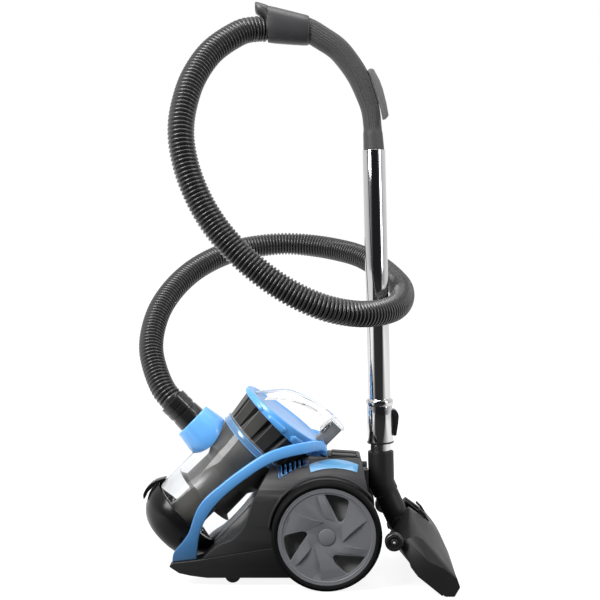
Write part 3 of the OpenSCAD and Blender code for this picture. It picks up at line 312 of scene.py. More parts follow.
# %% Metals
def metal(name, color, rough, lines_across=(1, 1, 1), drift=0.05):
    """Bare or plated metal, with drawing lines that are long where lines_across is small."""
    material = bpy.data.materials.new(name)
    material.use_nodes = True
    tree = material.node_tree
    shader = tree.nodes["Principled BSDF"]
    shader.inputs["Base Color"].default_value = (*color, 1)
    shader.inputs["Metallic"].default_value = 1.0
    mapping = add_node(tree, "ShaderNodeMapping")
    mapping.inputs["Scale"].default_value = lines_across
    tree.links.new(add_node(tree, "ShaderNodeTexCoord").outputs["Object"], mapping.inputs["Vector"])
    lines = noise(tree, mapping.outputs["Vector"], 400.0, 2.0)
    tree.links.new(spread(tree, lines, 0.3, 0.7, rough, rough + drift), shader.inputs["Roughness"])
    bump = add_node(tree, "ShaderNodeBump")
    bump.inputs["Distance"].default_value = 0.0001
    bump.inputs["Strength"].default_value = 0.08
    tree.links.new(lines, bump.inputs["Height"])
    tree.links.new(bump.outputs["Normal"], shader.inputs["Normal"])
    return material


chrome = metal("chrome", (0.6, 0.6, 0.61), 0.05, (1, 1, 0.02), 0.04)
steel = metal("steel", (0.6, 0.6, 0.62), 0.25)
copper = metal("copper", (0.6, 0.3, 0.16), 0.4)

# %% [markdown]
# ## Clear plastic
# The cup and the carry handle are clear SAN. The mesh has a real wall, so the shader can be
# solid glass. Its index of refraction is set under the real plastic's, which distorts less of what
# is inside. A slight haze from handling keeps it from looking like a bubble of nothing.

# %% Clear plastic
CLEAR_IOR = 1.3


def clear(name, color, rough, haze=0.05):
    """Clear plastic whose roughness drifts from rough to rough + haze."""
    material = bpy.data.materials.new(name)
    material.use_nodes = True
    tree = material.node_tree
    shader = tree.nodes["Principled BSDF"]
    shader.inputs["Base Color"].default_value = (*color, 1)
    shader.inputs["Transmission Weight"].default_value = 1.0
    shader.inputs["IOR"].default_value = CLEAR_IOR
    place = add_node(tree, "ShaderNodeTexCoord").outputs["Object"]
    smears = noise(tree, place, 30.0, 4.0)
    tree.links.new(spread(tree, smears, 0.45, 0.75, rough, rough + haze), shader.inputs["Roughness"])
    return material


clear_plastic = clear("clear_plastic", (0.93, 0.94, 0.95), 0.02)

# %% [markdown]
# ## From a mesh to a piece
# Every new mesh ends the same way: its doubles are merged, its normals point outwards, sharp
# edges are marked by their angle, and unless it is told not to, it rides on the body of the node that
# it stands for. Blue pieces are left out of mirror reflections, so that the chrome stays black and
# white.

# %% Piece helpers
SAME_PLACE = 1e-6  # metres


def new_piece(name, bm, material, stands_for, sharp=40, extra_materials=(), rides=True):
    """An object made of bm, in place of the node stands_for. Edges over sharp degrees stay sharp."""
    bmesh.ops.remove_doubles(bm, verts=bm.verts, dist=SAME_PLACE)
    bmesh.ops.recalc_face_normals(bm, faces=bm.faces)
    mesh = bpy.data.meshes.new(name)
    bm.to_mesh(mesh)
    bm.free()
    mesh.shade_smooth()
    mesh.set_sharp_from_angle(angle=math.radians(sharp))
    for finish in (material, *extra_materials):
        mesh.materials.append(finish)
    piece = bpy.data.objects.new(name, mesh)
    bpy.context.scene.collection.objects.link(piece)
    piece.visible_glossy = "blue" not in material.name
    if rides:
        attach(piece, frame["nodes"][stands_for]["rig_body"])
    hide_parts(stands_for)
    return piece


def rounded_copy(node, width, angle=32, edge_slot=-1):
    """A copy of a CAD node. Edges over angle degrees are rounded by width mm, in slot edge_slot."""
    bm = bmesh.new()
    bm.from_mesh(frame["nodes"][node].data)
    bmesh.ops.remove_doubles(bm, verts=bm.verts, dist=SAME_PLACE)
    bmesh.ops.dissolve_limit(bm, angle_limit=math.radians(0.5), verts=bm.verts, edges=bm.edges)
    if width:
        sharp = [edge for edge in bm.edges
                 if len(edge.link_faces) == 2 and edge.calc_face_angle(0) > math.radians(angle)]
        bmesh.ops.bevel(bm, geom=sharp, offset=width * MM, offset_type="OFFSET", affect="EDGES",
                        segments=2, profile=0.5, material=edge_slot, clamp_overlap=False)
    return bm


def join(bm, part, slot_index=0):
    """Adds the faces of part to bm, with that material slot."""
    for face in part.faces:
        face.material_index = slot_index
    mesh = bpy.data.meshes.new("part")
    part.to_mesh(mesh)
    part.free()
    bm.from_mesh(mesh)
    bpy.data.meshes.remove(mesh)


# %% [markdown]
# ## The hose
# A stretch hose is a thin plastic wall with one rib next to the other, here 6 mm apart. One rib is
# a short profile spun round, an Array modifier repeats it along the whole length, and a Curve
# modifier bends the straight stack along the route. The route's points are the same as the frame's.

# %% Hose route
HOSE_D = 0.039
RIB_PITCH = 0.006
HOSE_ROUTE = [
    (-46, 0, 838), (-64, -6, 837), (-88, -19, 829), (-126, -50, 798), (-151, -85, 755),
    (-163, -110, 711), (-166, -124, 674), (-161, -132, 637), (-149, -139, 599), (-129, -146, 559),
    (-104, -153, 524), (-73, -159, 492), (-37, -163, 463), (1, -164, 440), (41, -158, 423),
    (80, -142, 414), (114, -113, 412), (144, -70, 416), (160, -15, 426), (164, 45, 440),
    (155, 105, 454), (138, 165, 469), (108, 220, 486), (71, 262, 496), (26, 290, 503),
    (-21, 299, 506), (-69, 289, 502), (-113, 265, 493), (-150, 232, 478), (-181, 195, 458),
    (-206, 154, 432), (-223, 115, 403), (-231, 81, 372), (-231, 52, 342), (-222, 29, 313),
    (-208, 9, 286), (-194, 0, 270)]
CUFF_LENGTH = 140
STEPS_PER_SPAN = 12
cuff_end = INLET @ Vector((0, 0, CUFF_LENGTH * MM))
hose_line = smooth_line([Vector(p) * MM for p in HOSE_ROUTE] + [cuff_end], STEPS_PER_SPAN)
hose_length = sum((b - a).length for a, b in zip(hose_line, hose_line[1:]))
print("hose length, m:", round(hose_length, 3))


def route_curve(name, points):
    """A curve of one open spline through the points."""
    data = bpy.data.curves.new(name, "CURVE")
    data.dimensions = "3D"
    data.twist_mode = "MINIMUM"
    spline = data.splines.new("POLY")
    spline.points.add(len(points) - 1)
    for point, place in zip(spline.points, points):
        point.co = (*place, 1)
    route = bpy.data.objects.new(name, data)
    bpy.context.scene.collection.objects.link(route)
    return route


# %% Hose mesh
def spin_profile(profile_mm, axis="Z", segments=64, place=None):
    """A bmesh spun from (radius, height) points about an axis, then put in place."""
    bm = bmesh.new()
    verts = [bm.verts.new((r * MM, 0, z * MM)) for r, z in profile_mm]
    edges = [bm.edges.new(pair) for pair in zip(verts, verts[1:])]
    bmesh.ops.spin(bm, geom=verts + edges, cent=(0, 0, 0), axis=(0, 0, 1), angle=2 * math.pi,
                   steps=segments, use_merge=True)
    if axis == "X":
        bmesh.ops.rotate(bm, verts=bm.verts, cent=(0, 0, 0),
                         matrix=Matrix.Rotation(math.radians(90), 3, "Y"))
    if place is not None:
        bmesh.ops.transform(bm, matrix=place, verts=bm.verts)
    return bm


def ribbed_hose():
    """The whole hose as one mesh. A flank is (radius, share of the pitch), from valley to crest."""
    radius = HOSE_D / 2 / MM
    pitch = RIB_PITCH / MM
    flank = [(radius - 3.2, 0.0), (radius - 2.4, 0.15), (radius - 0.8, 0.26), (radius - 0.1, 0.4)]
    rib = ([(r, share * pitch) for r, share in flank]
           + [(r, (1 - share) * pitch) for r, share in reversed(flank)])
    bm = spin_profile(rib, axis="X", segments=32)
    mesh = bpy.data.meshes.new("straight_rib")
    bm.to_mesh(mesh)
    bm.free()
    straight = bpy.data.objects.new("straight_rib", mesh)
    bpy.context.scene.collection.objects.link(straight)
    route = route_curve("hose_route", hose_line)
    repeat = straight.modifiers.new("repeat", "ARRAY")
    repeat.fit_type = "FIXED_COUNT"
    repeat.count = int(hose_length / RIB_PITCH)
    repeat.use_relative_offset = False
    repeat.use_constant_offset = True
    repeat.constant_offset_displace = (hose_length / repeat.count, 0, 0)
    repeat.use_merge_vertices = True
    repeat.merge_threshold = 0.0003
    bend = straight.modifiers.new("bend", "CURVE")
    bend.object = route
    bend.deform_axis = "POS_X"
    evaluated = straight.evaluated_get(bpy.context.evaluated_depsgraph_get())
    bent = bmesh.new()
    bent.from_mesh(evaluated.to_mesh())
    print("hose ribs:", repeat.count, "faces:", len(bent.faces))
    for leftover in (straight, route):
        bpy.data.objects.remove(leftover)
    return bent


hose = new_piece("hose_ribbed", ribbed_hose(), hose_black, "hose", sharp=60, rides=False)
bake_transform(hose)

# %% [markdown]
# ## Rounded rigid pieces
# No moulding has a knife edge. Most rigid pieces keep their exact shape and only need their edges
# rounded, by 0.3 to 1.5 mm: that thin line of light is what makes a render look solid. Each row
# gives the material, the slot and the width of the rounding in mm.

# %% Rigid pieces
RIGID = {
    "lower_chassis": (chassis_plastic, "housing_dark", 1.2),
    "main_housing": (housing_plastic, "housing_dark", 0.8),
    "left_side_panel": (panel_plastic, "housing_dark", 0.6),
    "right_side_panel": (panel_plastic, "housing_dark", 0.6),
    "arch_band": (blue_gloss, "blue_gloss", 1.5),
    "top_panel": (cover_plastic, "cover_dark", 0.8),
    "power_pedal": (cover_plastic, "cover_dark", 0.8),
    "rewind_pedal": (cover_plastic, "cover_dark", 0.8),
    "trim_strips": (strip_blue, "strip_blue", 0.4),
    "parking_clip": (sleeve_grey, "clip_grey", 0.8),
    "exhaust_grille": (black_satin, "grille_black", 0.4),
    "cord_outlet": (black_satin, "grille_black", 0.8),
    "left_hub_cap": (wheel_grey, "wheel_grey", 0.8),
    "right_hub_cap": (wheel_grey, "wheel_grey", 0.8),
    "left_tyre": (tyre_rubber, "tyre_black", 0.6),
    "right_tyre": (tyre_rubber, "tyre_black", 0.6),
    "left_caster_fork": (black_satin, "caster_black", 0.4),
    "right_caster_fork": (black_satin, "caster_black", 0.4),
    "left_caster_wheel": (black_satin, "caster_black", 0.6),
    "right_caster_wheel": (black_satin, "caster_black", 0.6),
    "dust_cup": (clear_plastic, "clear_plastic", 0.4),
    "base_lid": (black_gloss, "black_gloss", 0.6),
    "cup_latch": (black_gloss, "black_gloss", 0.7),
    "cyclone_body": (smoke_black, "black_gloss", 0.5),
    "dust_tube": (smoke_black, "reel_plastic", 0.4),
    "carry_handle": (clear_plastic, "clear_plastic", 1.2),
    "release_post": (post_grey, "clip_grey", 0.8),
    "release_button": (slider_grey, "clip_grey", 0.8),
    "inlet_collar": (blue_gloss, "blue_gloss", 1.0),
    "bleed_slider": (slider_grey, "clip_grey", 0.8),
    "outer_tube": (chrome, "chrome_tube", 0.3),
    "inner_tube": (chrome, "chrome_tube", 0.3),
    "tube_lock": (black_satin, "black_gloss", 0.8),
    "neck_cuff": (head_black, "head_black", 0.8),
    "head_shell": (head_black, "head_black", 1.0),
    "brush_pedal": (head_black, "head_black", 0.8),
}
for node, (material, slot, width) in RIGID.items():
    new_piece(node + "_rounded", rounded_copy(node, width), material, node)
# Painted highlight: the vents' rounded edges take the lighter gloss blue, as light lines along the
# blades.
new_piece("side_vents_rounded", rounded_copy("side_vents", 0.9, edge_slot=1), vent_blue,
          "side_vents", extra_materials=(blue_gloss,))

# %% [markdown]
# ## Elbow and floor head
# A thin ring at the seam where the elbow turns in its cuff takes the grip's lighter grey: a painted
# highlight along the seam.
# The sole stands proud of the head's shell, so its underside is drawn down. The head's wheels have a
# pale pin in the middle and a raised ring.

# %% Elbow
# Painted highlight: a thin ring at the seam, in the grip's lighter grey.
SEAM_HIGHLIGHT_RING = [(17.9, -0.5), (18.8, -0.2), (19, 0.3), (18.8, 0.8), (17.9, 1.1)]

elbow = rounded_copy("neck_elbow", 0.8)
join(elbow, spin_profile(SEAM_HIGHLIGHT_RING, place=ELBOW), 1)
new_piece("neck_elbow_seamed", elbow, head_black, "neck_elbow",
          extra_materials=(grip_grey,))

# %% Sole
SOLE_STEP = 2.5
UNDERSIDE_BAND = 1  # mm above the lowest point that still belong to the underside

sole = rounded_copy("head_sole", 0.5)
underside = min((HEAD.inverted() @ vert.co).z for vert in sole.verts)
for vert in sole.verts:
    if (HEAD.inverted() @ vert.co).z < underside + UNDERSIDE_BAND * MM:
        vert.co += HEAD.to_3x3() @ Vector((0, 0, -SOLE_STEP)) * MM
new_piece("head_sole_stepped", sole, head_black, "head_sole")

# %% Head wheels
HEAD_WHEEL_FACE = (-17, 133, -10)
PIN_PROFILE = [(0, 1.2), (1.3, 1.1), (1.8, 0.4), (1.8, -1)]
RING_PROFILE = [(8.2, -0.4), (8.7, 0.4), (9.6, 0.4), (10.1, -0.4)]

casters = rounded_copy("head_wheels", 0.8)
for side in (-1, 1):
    x, y, z = HEAD_WHEEL_FACE
    outside = (HEAD @ Matrix.Translation(Vector((x, side * y, z)) * MM)
               @ Matrix.Rotation(math.radians(-90 * side), 4, "X"))
    join(casters, spin_profile(PIN_PROFILE, segments=24, place=outside), 1)
    join(casters, spin_profile(RING_PROFILE, segments=48, place=outside), 0)
new_piece("head_wheels_rounded", casters, black_satin, "head_wheels",
          extra_materials=(pale_plastic,))

# %% [markdown]
# ## Wheels
# Each hub disc is a turbine with three windows. Between the windows two blades rise to a crease
# and drop away behind it, a narrow ring borders the rim, and the far wall of the windows gets a lighter
# grey than the disc: painted light in their deep shade.

# %% Shapes on the discs
WHEEL_CENTRE = (44.5, 89, 82)
WHEEL_FACE = 26  # mm from the centre to the disc's outer face
WINDOW_WALL = 98  # mm from the middle of the machine; outward faces nearer than this are far walls
RIM_RING = [(65.6, 25.5), (66.8, 26.9), (71.6, 26.9), (72.8, 25.5)]
BLADES = [  # crest as (outer end, inner end, bow), foot as (outer end, inner end), their heights
    (((63, 103), (29, 95), 0), ((62.5, 94.5), (27, 62)), (2.9, 1.0)),
    (((64, 143), (24, 104), 2), ((63, 177), (25, 150)), (2.9, 0.2))]


def polar(radius, degrees):
    """A point at that radius and angle, at height 0."""
    angle = math.radians(degrees)
    return Vector((radius * math.cos(angle), radius * math.sin(angle), 0))


def bowed_line(outer, inner, bow, steps=10):
    """Points from outer to inner, each given as radius and degrees, bowed sideways by bow mm."""
    a, b = polar(*outer), polar(*inner)
    side = Vector((b.y - a.y, a.x - b.x, 0)).normalized()
    return [a.lerp(b, k / steps) + side * bow * math.sin(math.pi * k / steps) for k in range(steps + 1)]


def ring_stack(bm, rings, loop=False):
    """Quads between rings of points in metres, capped at both ends unless the stack is a loop."""
    made = [[bm.verts.new(p) for p in ring] for ring in rings]
    count = len(made[0])
    pairs = list(zip(made, made[1:])) + ([(made[-1], made[0])] if loop else [])
    for low, high in pairs:
        for k in range(count):
            bm.faces.new((low[k], low[(k + 1) % count], high[(k + 1) % count], high[k]))
    if not loop:
        bm.faces.new(reversed(made[0]))
        bm.faces.new(made[-1])
    return [v for ring in made for v in ring]


def blade(bm, crest, foot, heights, place):
    """A wedge on the disc's face, as high as heights[0] along crest and heights[1] along foot."""
    last = len(crest) - 1
    rings = []
    for k, (c, f) in enumerate(zip(crest, foot)):
        fade = min(1.0, 0.1 + 3.0 * k / last, 0.35 + 2.0 * (last - k) / last)
        rings.append([Vector((p.x, p.y, WHEEL_FACE + z)) * MM for p, z in (
            (c, heights[0] * fade), (f, heights[1] * fade), (f, -1.0), (c, -1.0))])
    bmesh.ops.transform(bm, matrix=place, verts=ring_stack(bm, rings))


def wheel_disc(side):
    """The disc at -Y (side -1) or +Y (side 1), with the two blades of each of its three sectors."""
    name = "left_wheel_disc" if side < 0 else "right_wheel_disc"
    x, y, z = WHEEL_CENTRE
    place = (Matrix.Translation(Vector((x, side * y, z)) * MM)
             @ Matrix.Rotation(math.radians(-90 * side), 4, "X"))
    bm = rounded_copy(name, 0.6)
    # Painted light: the far walls inside the windows take a lighter grey than the disc, against their
    # deep shade.
    for face in bm.faces:
        across = face.calc_center_median().y
        if abs(across) < WINDOW_WALL * MM and across * face.normal.y > 0:
            face.material_index = 1
    for turn in (0, 120, 240):
        for (outer_c, inner_c, bow), (outer_f, inner_f), heights in BLADES:
            crest = bowed_line((outer_c[0], outer_c[1] + turn), (inner_c[0], inner_c[1] + turn), bow)
            foot = bowed_line((outer_f[0], outer_f[1] + turn), (inner_f[0], inner_f[1] + turn), 0)
            blade(bm, crest, foot, heights, place)
    join(bm, spin_profile(RIM_RING, segments=96, place=place))
    new_piece(name + "_turbine", bm, wheel_grey, name, sharp=28,
              extra_materials=(window_wall_painted_light,))


wheel_disc(-1)
wheel_disc(1)

# %% [markdown]
# ## Filter housing and lid
# The black housing of the filter is folded like a paper lantern: plain where it sits on the ring,
# deeply folded where it meets the lid. The lid is a wedge, thin at the front and thick at the release
# post, with three long pads pressed out of each of its sides.

# %% Filter housing
HOUSING_FOOT = 114.3
LID_FOOT = 157.0
HOUSING_TOP = LID_FOOT + 0.4
FOLDS = 14
FOLD = ((0.0, 1.0), (0.12, 0.0), (0.15, 0.0), (0.8, 0.12), (0.9, 1.0))  # (share of a fold, how deep)
CREASE_HIGHLIGHT_AREA = 0.00006  # square metres; upright faces smaller than this are the creases' edges


def folded_housing():
    def ring(plain, deep, height):
        """Points round the cup's axis, from radius plain down to plain - deep."""
        return [(polar(plain - deep * inward, 360 * (k + part) / FOLDS)
                 + Vector((0, 0, height))) * MM
                for k in range(FOLDS) for part, inward in FOLD]

    bm = bmesh.new()
    ring_stack(bm, [ring(62, 0.4, HOUSING_FOOT), ring(62.4, 1.0, 117), ring(69, 10, HOUSING_TOP),
                    ring(56, 0, HOUSING_TOP), ring(56, 0, HOUSING_FOOT)], loop=True)
    bmesh.ops.transform(bm, matrix=CUP, verts=bm.verts)
    return bm


folded = folded_housing()
# Painted highlight: the small upright faces along the creases take the slider's lighter grey, as light
# lines along the folds.
cup_axis = CUP.to_3x3().col[2]
for face in folded.faces:
    if face.calc_area() < CREASE_HIGHLIGHT_AREA and abs(face.normal.dot(cup_axis)) < 0.3:
        face.material_index = 1
new_piece("filter_housing_folded", folded, filter_plastic, "filter_housing", sharp=20,
          extra_materials=(slider_grey,))

# %% Lid
LID_THICK = 17.3  # mm at the axis
LID_SLOPE = 0.13
LID_EDGE = [  # (radius, share of the thickness, mm below it), from the underside to the dished top
    (60, 0, 0), (72.4, 0, 0), (73.6, 0, -1.2), (73.6, 1, 1.8), (73, 1, 0.5), (71.6, 1, 0), (64, 1, 0),
    (62.5, 1, 0.9), (30, 1, 0.9)]
PAD_STARTS = (-148, -111, -74, 45, 82, 119)
PAD_SPAN = 30
PAD_STEPS = 15
PAD_ROOT, PAD_MIDDLE = 72.8, 0.32  # the radius and the share towards which the ends of a pad shrink
PAD_PROFILE = ((72.8, 0.04), (75.4, 0.08), (76.3, 0.16), (76.3, 0.44), (75.6, 0.54), (72.8, 0.6))


def lid_point(radius, degrees, share, drop=0.0):
    """A point of the lid, at a share of its thickness: 0 is the underside, 1 the sloping top."""
    p = polar(radius, degrees)
    thick = LID_THICK + LID_SLOPE * p.x
    return Vector((p.x, p.y, LID_FOOT + share * thick - drop)) * MM


def wedge_lid():
    bm = bmesh.new()
    ring_stack(bm, [[lid_point(radius, 3 * k, share, drop) for k in range(120)]
                    for radius, share, drop in LID_EDGE])
    for start in PAD_STARTS:
        part = bmesh.new()
        rings = []
        for k in range(PAD_STEPS + 1):
            pinch = min(1.0, 0.2 + 1.6 * min(k, PAD_STEPS - k) / 4)
            rings.append([lid_point(PAD_ROOT + (radius - PAD_ROOT) * pinch,
                                    start + PAD_SPAN * k / PAD_STEPS,
                                    PAD_MIDDLE + (share - PAD_MIDDLE) * pinch)
                          for radius, share in PAD_PROFILE])
        ring_stack(part, rings)
        join(bm, part)
    bmesh.ops.transform(bm, matrix=CUP, verts=bm.verts)
    return bm


new_piece("top_lid_wedge", wedge_lid(), lid_blue, "top_lid", sharp=50)

# %% Cup ring
LIP_HEIGHTS = (103.8, 112.6)
LIP_PROFILE = [(62, -1.2), (64.6, -0.7), (64.9, 0), (64.6, 0.7), (62, 1.2)]

# The two lips at the ring's edges are real shape, drawn in the lighter strip blue as painted highlights
# along the edges.
ring_body = rounded_copy("cup_ring", 0.8)
for height in LIP_HEIGHTS:
    lip = spin_profile([(r, height + z) for r, z in LIP_PROFILE], segments=96, place=CUP)
    join(ring_body, lip, 1)
new_piece("cup_ring_lipped", ring_body, smoke_blue, "cup_ring",
          extra_materials=(strip_blue,))

# %% [markdown]
# ## Hose cuff
# The cuff steps down from the hose: a wide end, two grooves, then a smooth neck that turns in the
# blue collar.

# %% Hose cuff
CUFF_PROFILE = [
    (16.5, 141.5), (22.2, 141.5), (22.8, 140.9), (22.8, 130), (22.1, 129.5), (22.1, 127.7), (22.8, 127),
    (22.8, 119), (21.6, 118), (21.6, 115), (22.6, 114.2), (23.5, 99.5), (23.2, 98.3), (20.5, 98.2)]

cuff = spin_profile(CUFF_PROFILE, segments=72, place=INLET)
new_piece("hose_cuff_stepped", cuff, cuff_black, "hose_cuff", sharp=35)

# %% [markdown]
# ## Handle and collar
# The grip is swept along the same line as the frame's, with fine ribs along both of its sides and a
# plain cuff where it takes the tube. The sleeve is a row of rounded sections that ends in a hood over
# the hose. The lock collar has a rolled lip and a black seal.

# %% Grip
WAND_TOP = Vector((118.194, 0, 654.845))
GRIP_PATH = [
    (-120, 0, 187.5), (-102, 0, 182.2), (-79.7, 0, 169.2), (-56.9, 0, 153.7), (-39.5, 0, 133.7),
    (-25, 0, 111.7), (-13.6, 0, 84.6), (-5.7, 0, 60.2), (-2.2, 0, 31.2), (-0.3, 0, 3.7), (-0.2, 0, 0.3)]
GRIP_RADIUS = [17, 18.3, 18.4, 18, 17.5, 17, 15.5, 14.6, 14.3, 15.3, 15.3]
GRIP_STEPS = 10  # rings to a span of the path
GRIP_AROUND = 240
RIBS_FROM, RIBS_TO = 10, 81  # rings between which the grip is ribbed; the plain cuff follows
RIB_DEPTH, BAND_DEPTH, CUFF_HEIGHT = 0.8, 0.6, 0.5
BAND_FROM = 0.5  # sine of the angle above which the inner band runs


def clamped(*values):
    """The smallest of the values, kept between 0 and 1."""
    return max(0.0, min(1.0, *values))


def ribbed_grip():
    line = smooth_line([WAND_TOP + Vector(p) for p in GRIP_PATH], GRIP_STEPS)
    radii = [v.x for v in smooth_line([Vector((r, 0, 0)) for r in GRIP_RADIUS], GRIP_STEPS)]
    last = len(line) - 1
    sideways = Vector((0, 1, 0))
    rings = []
    for i, (centre, radius) in enumerate(zip(line, radii)):
        along = (line[min(i + 1, last)] - line[max(i - 1, 0)]).normalized()
        up = sideways.cross(along).normalized()
        ribbed = clamped((i - RIBS_FROM) / 2, (RIBS_TO - i) / 1.5)
        cuff_step = CUFF_HEIGHT if i > RIBS_TO else 0.0
        ring = []
        for k in range(GRIP_AROUND):
            angle = 2 * math.pi * k / GRIP_AROUND
            c, d = math.cos(angle), math.sin(angle)
            flank = clamped((d + 0.72) / 0.05, (0.42 - d) / 0.05)
            inner_band = clamped((d - BAND_FROM) / 0.1)
            hollow = RIB_DEPTH * flank * abs(math.sin(15 * angle)) + BAND_DEPTH * inner_band
            r = radius + cuff_step - ribbed * hollow
            ring.append((centre + r * (c * sideways + d * up)) * MM)
        rings.append(ring)
    bm = bmesh.new()
    ring_stack(bm, rings)
    for index, face in enumerate(bm.faces):
        if math.sin(2 * math.pi * (index % GRIP_AROUND) / GRIP_AROUND) > BAND_FROM:
            face.material_index = 1
    return bm


new_piece("handle_grip_ribbed", ribbed_grip(), grip_grey, "handle_grip", sharp=50,
          extra_materials=(sleeve_grey,))

# %% Sleeve
SLEEVE_STATIONS = [  # (place, underside, top, half width), from the hood's tip to the grip
    (-181.6, 211, 223.4, 11), (-180.8, 207, 224.2, 14), (-177, 204, 223.6, 17), (-172, 201, 222, 18.5),
    (-167, 197, 220.6, 19.4), (-163.6, 192, 219.4, 19.8), (-162.6, 165, 218.8, 20.2),
    (-161.5, 163, 218.4, 20.6), (-150, 161.5, 216, 21.3), (-130, 160, 211, 21.8),
    (-110, 158.8, 206, 22), (-102, 158.8, 204, 21.8), (-99.6, 160.2, 202.4, 20.8),
    (-99, 163, 199.5, 19)]
SLEEVE_AROUND = 48
ROUNDNESS = 0.85  # 1 makes an ellipse; less makes its sides flatter


def hooded_sleeve():
    rings = []
    for x, low, high, half in SLEEVE_STATIONS:
        middle, tall = (low + high) / 2, (high - low) / 2
        ring = []
        for k in range(SLEEVE_AROUND):
            angle = 2 * math.pi * k / SLEEVE_AROUND
            c, d = (math.copysign(abs(v) ** ROUNDNESS, v) for v in (math.cos(angle), math.sin(angle)))
            ring.append((WAND_TOP + Vector((x, half * c, middle + tall * d))) * MM)
        rings.append(ring)
    bm = bmesh.new()
    ring_stack(bm, rings)
    return bm


new_piece("handle_sleeve_hooded", hooded_sleeve(), sleeve_grey, "handle_sleeve", sharp=38)

# %% Lock collar
ROLLED_LIP = [(19, 56), (20.6, 57.5), (21.3, 60), (21.4, 62.5), (21.1, 65), (19.9, 67.2), (17.5, 68.2)]
SEAL = [(16.4, -1.6), (20.4, -1.2), (21, 0), (20.9, 1.6), (20, 2), (16.4, 2)]

collar = rounded_copy("lock_collar", 0.8)
for slot_index, profile in enumerate((ROLLED_LIP, SEAL)):
    join(collar, spin_profile(profile, segments=64, place=WAND), slot_index)
new_piece("lock_collar_rolled", collar, chrome, "lock_collar",
          extra_materials=(black_satin,))

# %% [markdown]
# ## Pieces inside
# The motor, its windings, the cord reel and the filters only show when the model is opened
# up, so they keep their plain shapes and get their metals and plastics.

# %% Inner pieces
INSIDE = {
    "motor_shell": steel, "motor_core": copper, "motor_rotor": steel, "wheel_axles": steel,
    "housing_screws": steel, "head_pins": steel, "cord_reel": pale_plastic,
    "exhaust_filter": foam, "pleated_filter": foam, "head_brush": black_satin,
}
for node, material in INSIDE.items():
    mesh = frame["nodes"][node].data
    mesh.materials.clear()
    mesh.materials.append(material)

# %% [markdown]
# ## Stage and light
# A white room with a black wall behind the camera. Chrome and gloss black mirror that wall in their
# middle and the bright sides along their edges, which is what gives them their depth. The floor
# glows, so that it melts into the background and keeps only a faint shadow. In reflections its
# near part is dark, like the wall above it, and it grows bright towards the sides and the back.

# %% Floor
FLOOR_HALF = 30
FLOOR_GLOW = 0.9
FLOOR_BASE = 0.25
FLOOR_RAMP = (-0.15, 0.5, 0.03, 1.0)  # from and to along Y in metres, and the share of glow there
SIDE_SHARE = 0.93  # how much a metre sideways counts as a metre backwards


def floor():
    bm = bmesh.new()
    bmesh.ops.create_grid(bm, x_segments=1, y_segments=1, size=FLOOR_HALF)
    mesh = bpy.data.meshes.new("floor")
    bm.to_mesh(mesh)
    bm.free()
    material = bpy.data.materials.new("floor_white")
    material.use_nodes = True
    tree = material.node_tree
    shader = tree.nodes["Principled BSDF"]
    place = add_node(tree, "ShaderNodeTexCoord").outputs["Object"]
    rough = spread(tree, noise(tree, place, 3.0), 0.3, 0.7, 0.75, 0.85)
    tree.links.new(rough, shader.inputs["Roughness"])
    shader.inputs["Specular IOR Level"].default_value = 0.0
    shader.inputs["Emission Strength"].default_value = FLOOR_GLOW
    spot = add_node(tree, "ShaderNodeSeparateXYZ")
    tree.links.new(place, spot.inputs[0])
    sideways = maths(tree, "ABSOLUTE", maths(tree, "MULTIPLY", spot.outputs["X"], SIDE_SHARE), 0.0)
    mirrored = spread(tree, maths(tree, "ADD", spot.outputs["Y"], sideways), *FLOOR_RAMP)
    seen = add_node(tree, "ShaderNodeLightPath").outputs["Is Camera Ray"]
    glow = maths(tree, "MAXIMUM", mirrored, seen)
    tree.links.new(glow, shader.inputs["Emission Color"])
    tree.links.new(maths(tree, "MULTIPLY", glow, FLOOR_BASE), shader.inputs["Base Color"])
    mesh.materials.append(material)
    ground = bpy.data.objects.new("floor", mesh)
    bpy.context.scene.collection.objects.link(ground)


floor()

# %% World
# Each is (place on the ramp along Y, brightness).
BEHIND_CAMERA = (0.1, 0.02)
BETWEEN = ((0.14, 0.1), (0.3, 0.45), (0.5, 0.85))
BEHIND_MACHINE = (1.0, 1.0)


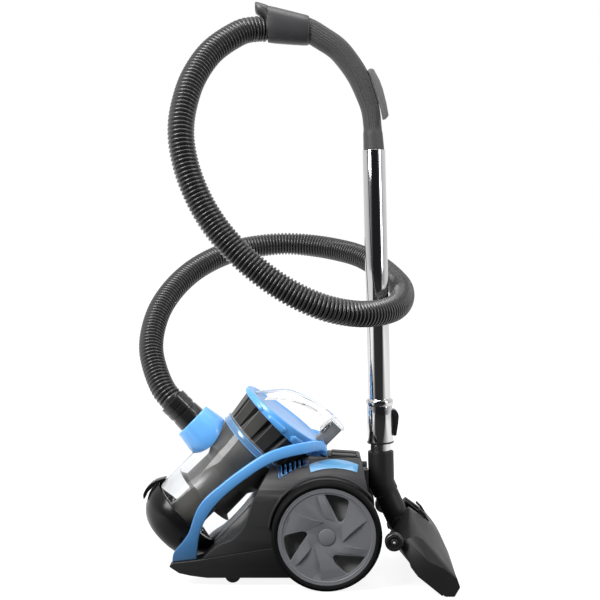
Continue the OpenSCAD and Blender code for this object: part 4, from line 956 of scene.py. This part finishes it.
def surround():
    """White where the camera sees it; as light and in reflections, a ramp from dark to white."""
    world = bpy.data.worlds.new("surround")
    bpy.context.scene.world = world
    world.use_nodes = True
    tree = world.node_tree
    tree.nodes.clear()
    leave = add_node(tree, "ShaderNodeOutputWorld")
    seen = add_node(tree, "ShaderNodeBackground")
    seen.inputs["Color"].default_value = (1, 1, 1, 1)
    seen.inputs["Strength"].default_value = 1.0
    light = add_node(tree, "ShaderNodeBackground")
    light.inputs["Strength"].default_value = 1.0
    direction = add_node(tree, "ShaderNodeSeparateXYZ")
    tree.links.new(add_node(tree, "ShaderNodeTexCoord").outputs["Generated"], direction.inputs[0])
    walls = add_node(tree, "ShaderNodeValToRGB")
    ramp = walls.color_ramp
    ramp.elements[0].position, dark = BEHIND_CAMERA
    ramp.elements[0].color = (dark, dark, dark * 1.1, 1)
    ramp.elements[1].position, bright = BEHIND_MACHINE
    ramp.elements[1].color = (bright, bright, bright, 1)
    for position, grey in BETWEEN:
        ramp.elements.new(position).color = (grey, grey, grey * 1.01, 1)
    tree.links.new(spread(tree, direction.outputs["Y"], -1, 1), walls.inputs["Fac"])
    tree.links.new(walls.outputs["Color"], light.inputs["Color"])
    mix = add_node(tree, "ShaderNodeMixShader")
    tree.links.new(add_node(tree, "ShaderNodeLightPath").outputs["Is Camera Ray"], mix.inputs["Fac"])
    tree.links.new(light.outputs[0], mix.inputs[1])
    tree.links.new(seen.outputs[0], mix.inputs[2])
    tree.links.new(mix.outputs[0], leave.inputs["Surface"])


surround()

# %% Lights
def soft_light(name, place, aim, size, watts):
    """A rectangular area light at place, turned towards aim."""
    data = bpy.data.lights.new(name, "AREA")
    data.shape = "RECTANGLE"
    data.size, data.size_y = size
    data.energy = watts
    light = bpy.data.objects.new(name, data)
    light.location = place
    light.rotation_euler = (Vector(aim) - Vector(place)).to_track_quat("-Z", "Y").to_euler()
    bpy.context.scene.collection.objects.link(light)


soft_light("key", (-1.5, -1.3, 2.0), (0, 0, 0.3), (0.9, 1.4), 82)
soft_light("fill", (1.9, -1.1, 1.3), (0, 0, 0.4), (0.5, 1.6), 18)
soft_light("top", (0, -0.1, 2.4), (0, 0, 0.2), (1.4, 1.0), 22)
bpy.context.scene.view_settings.view_transform = "Standard"
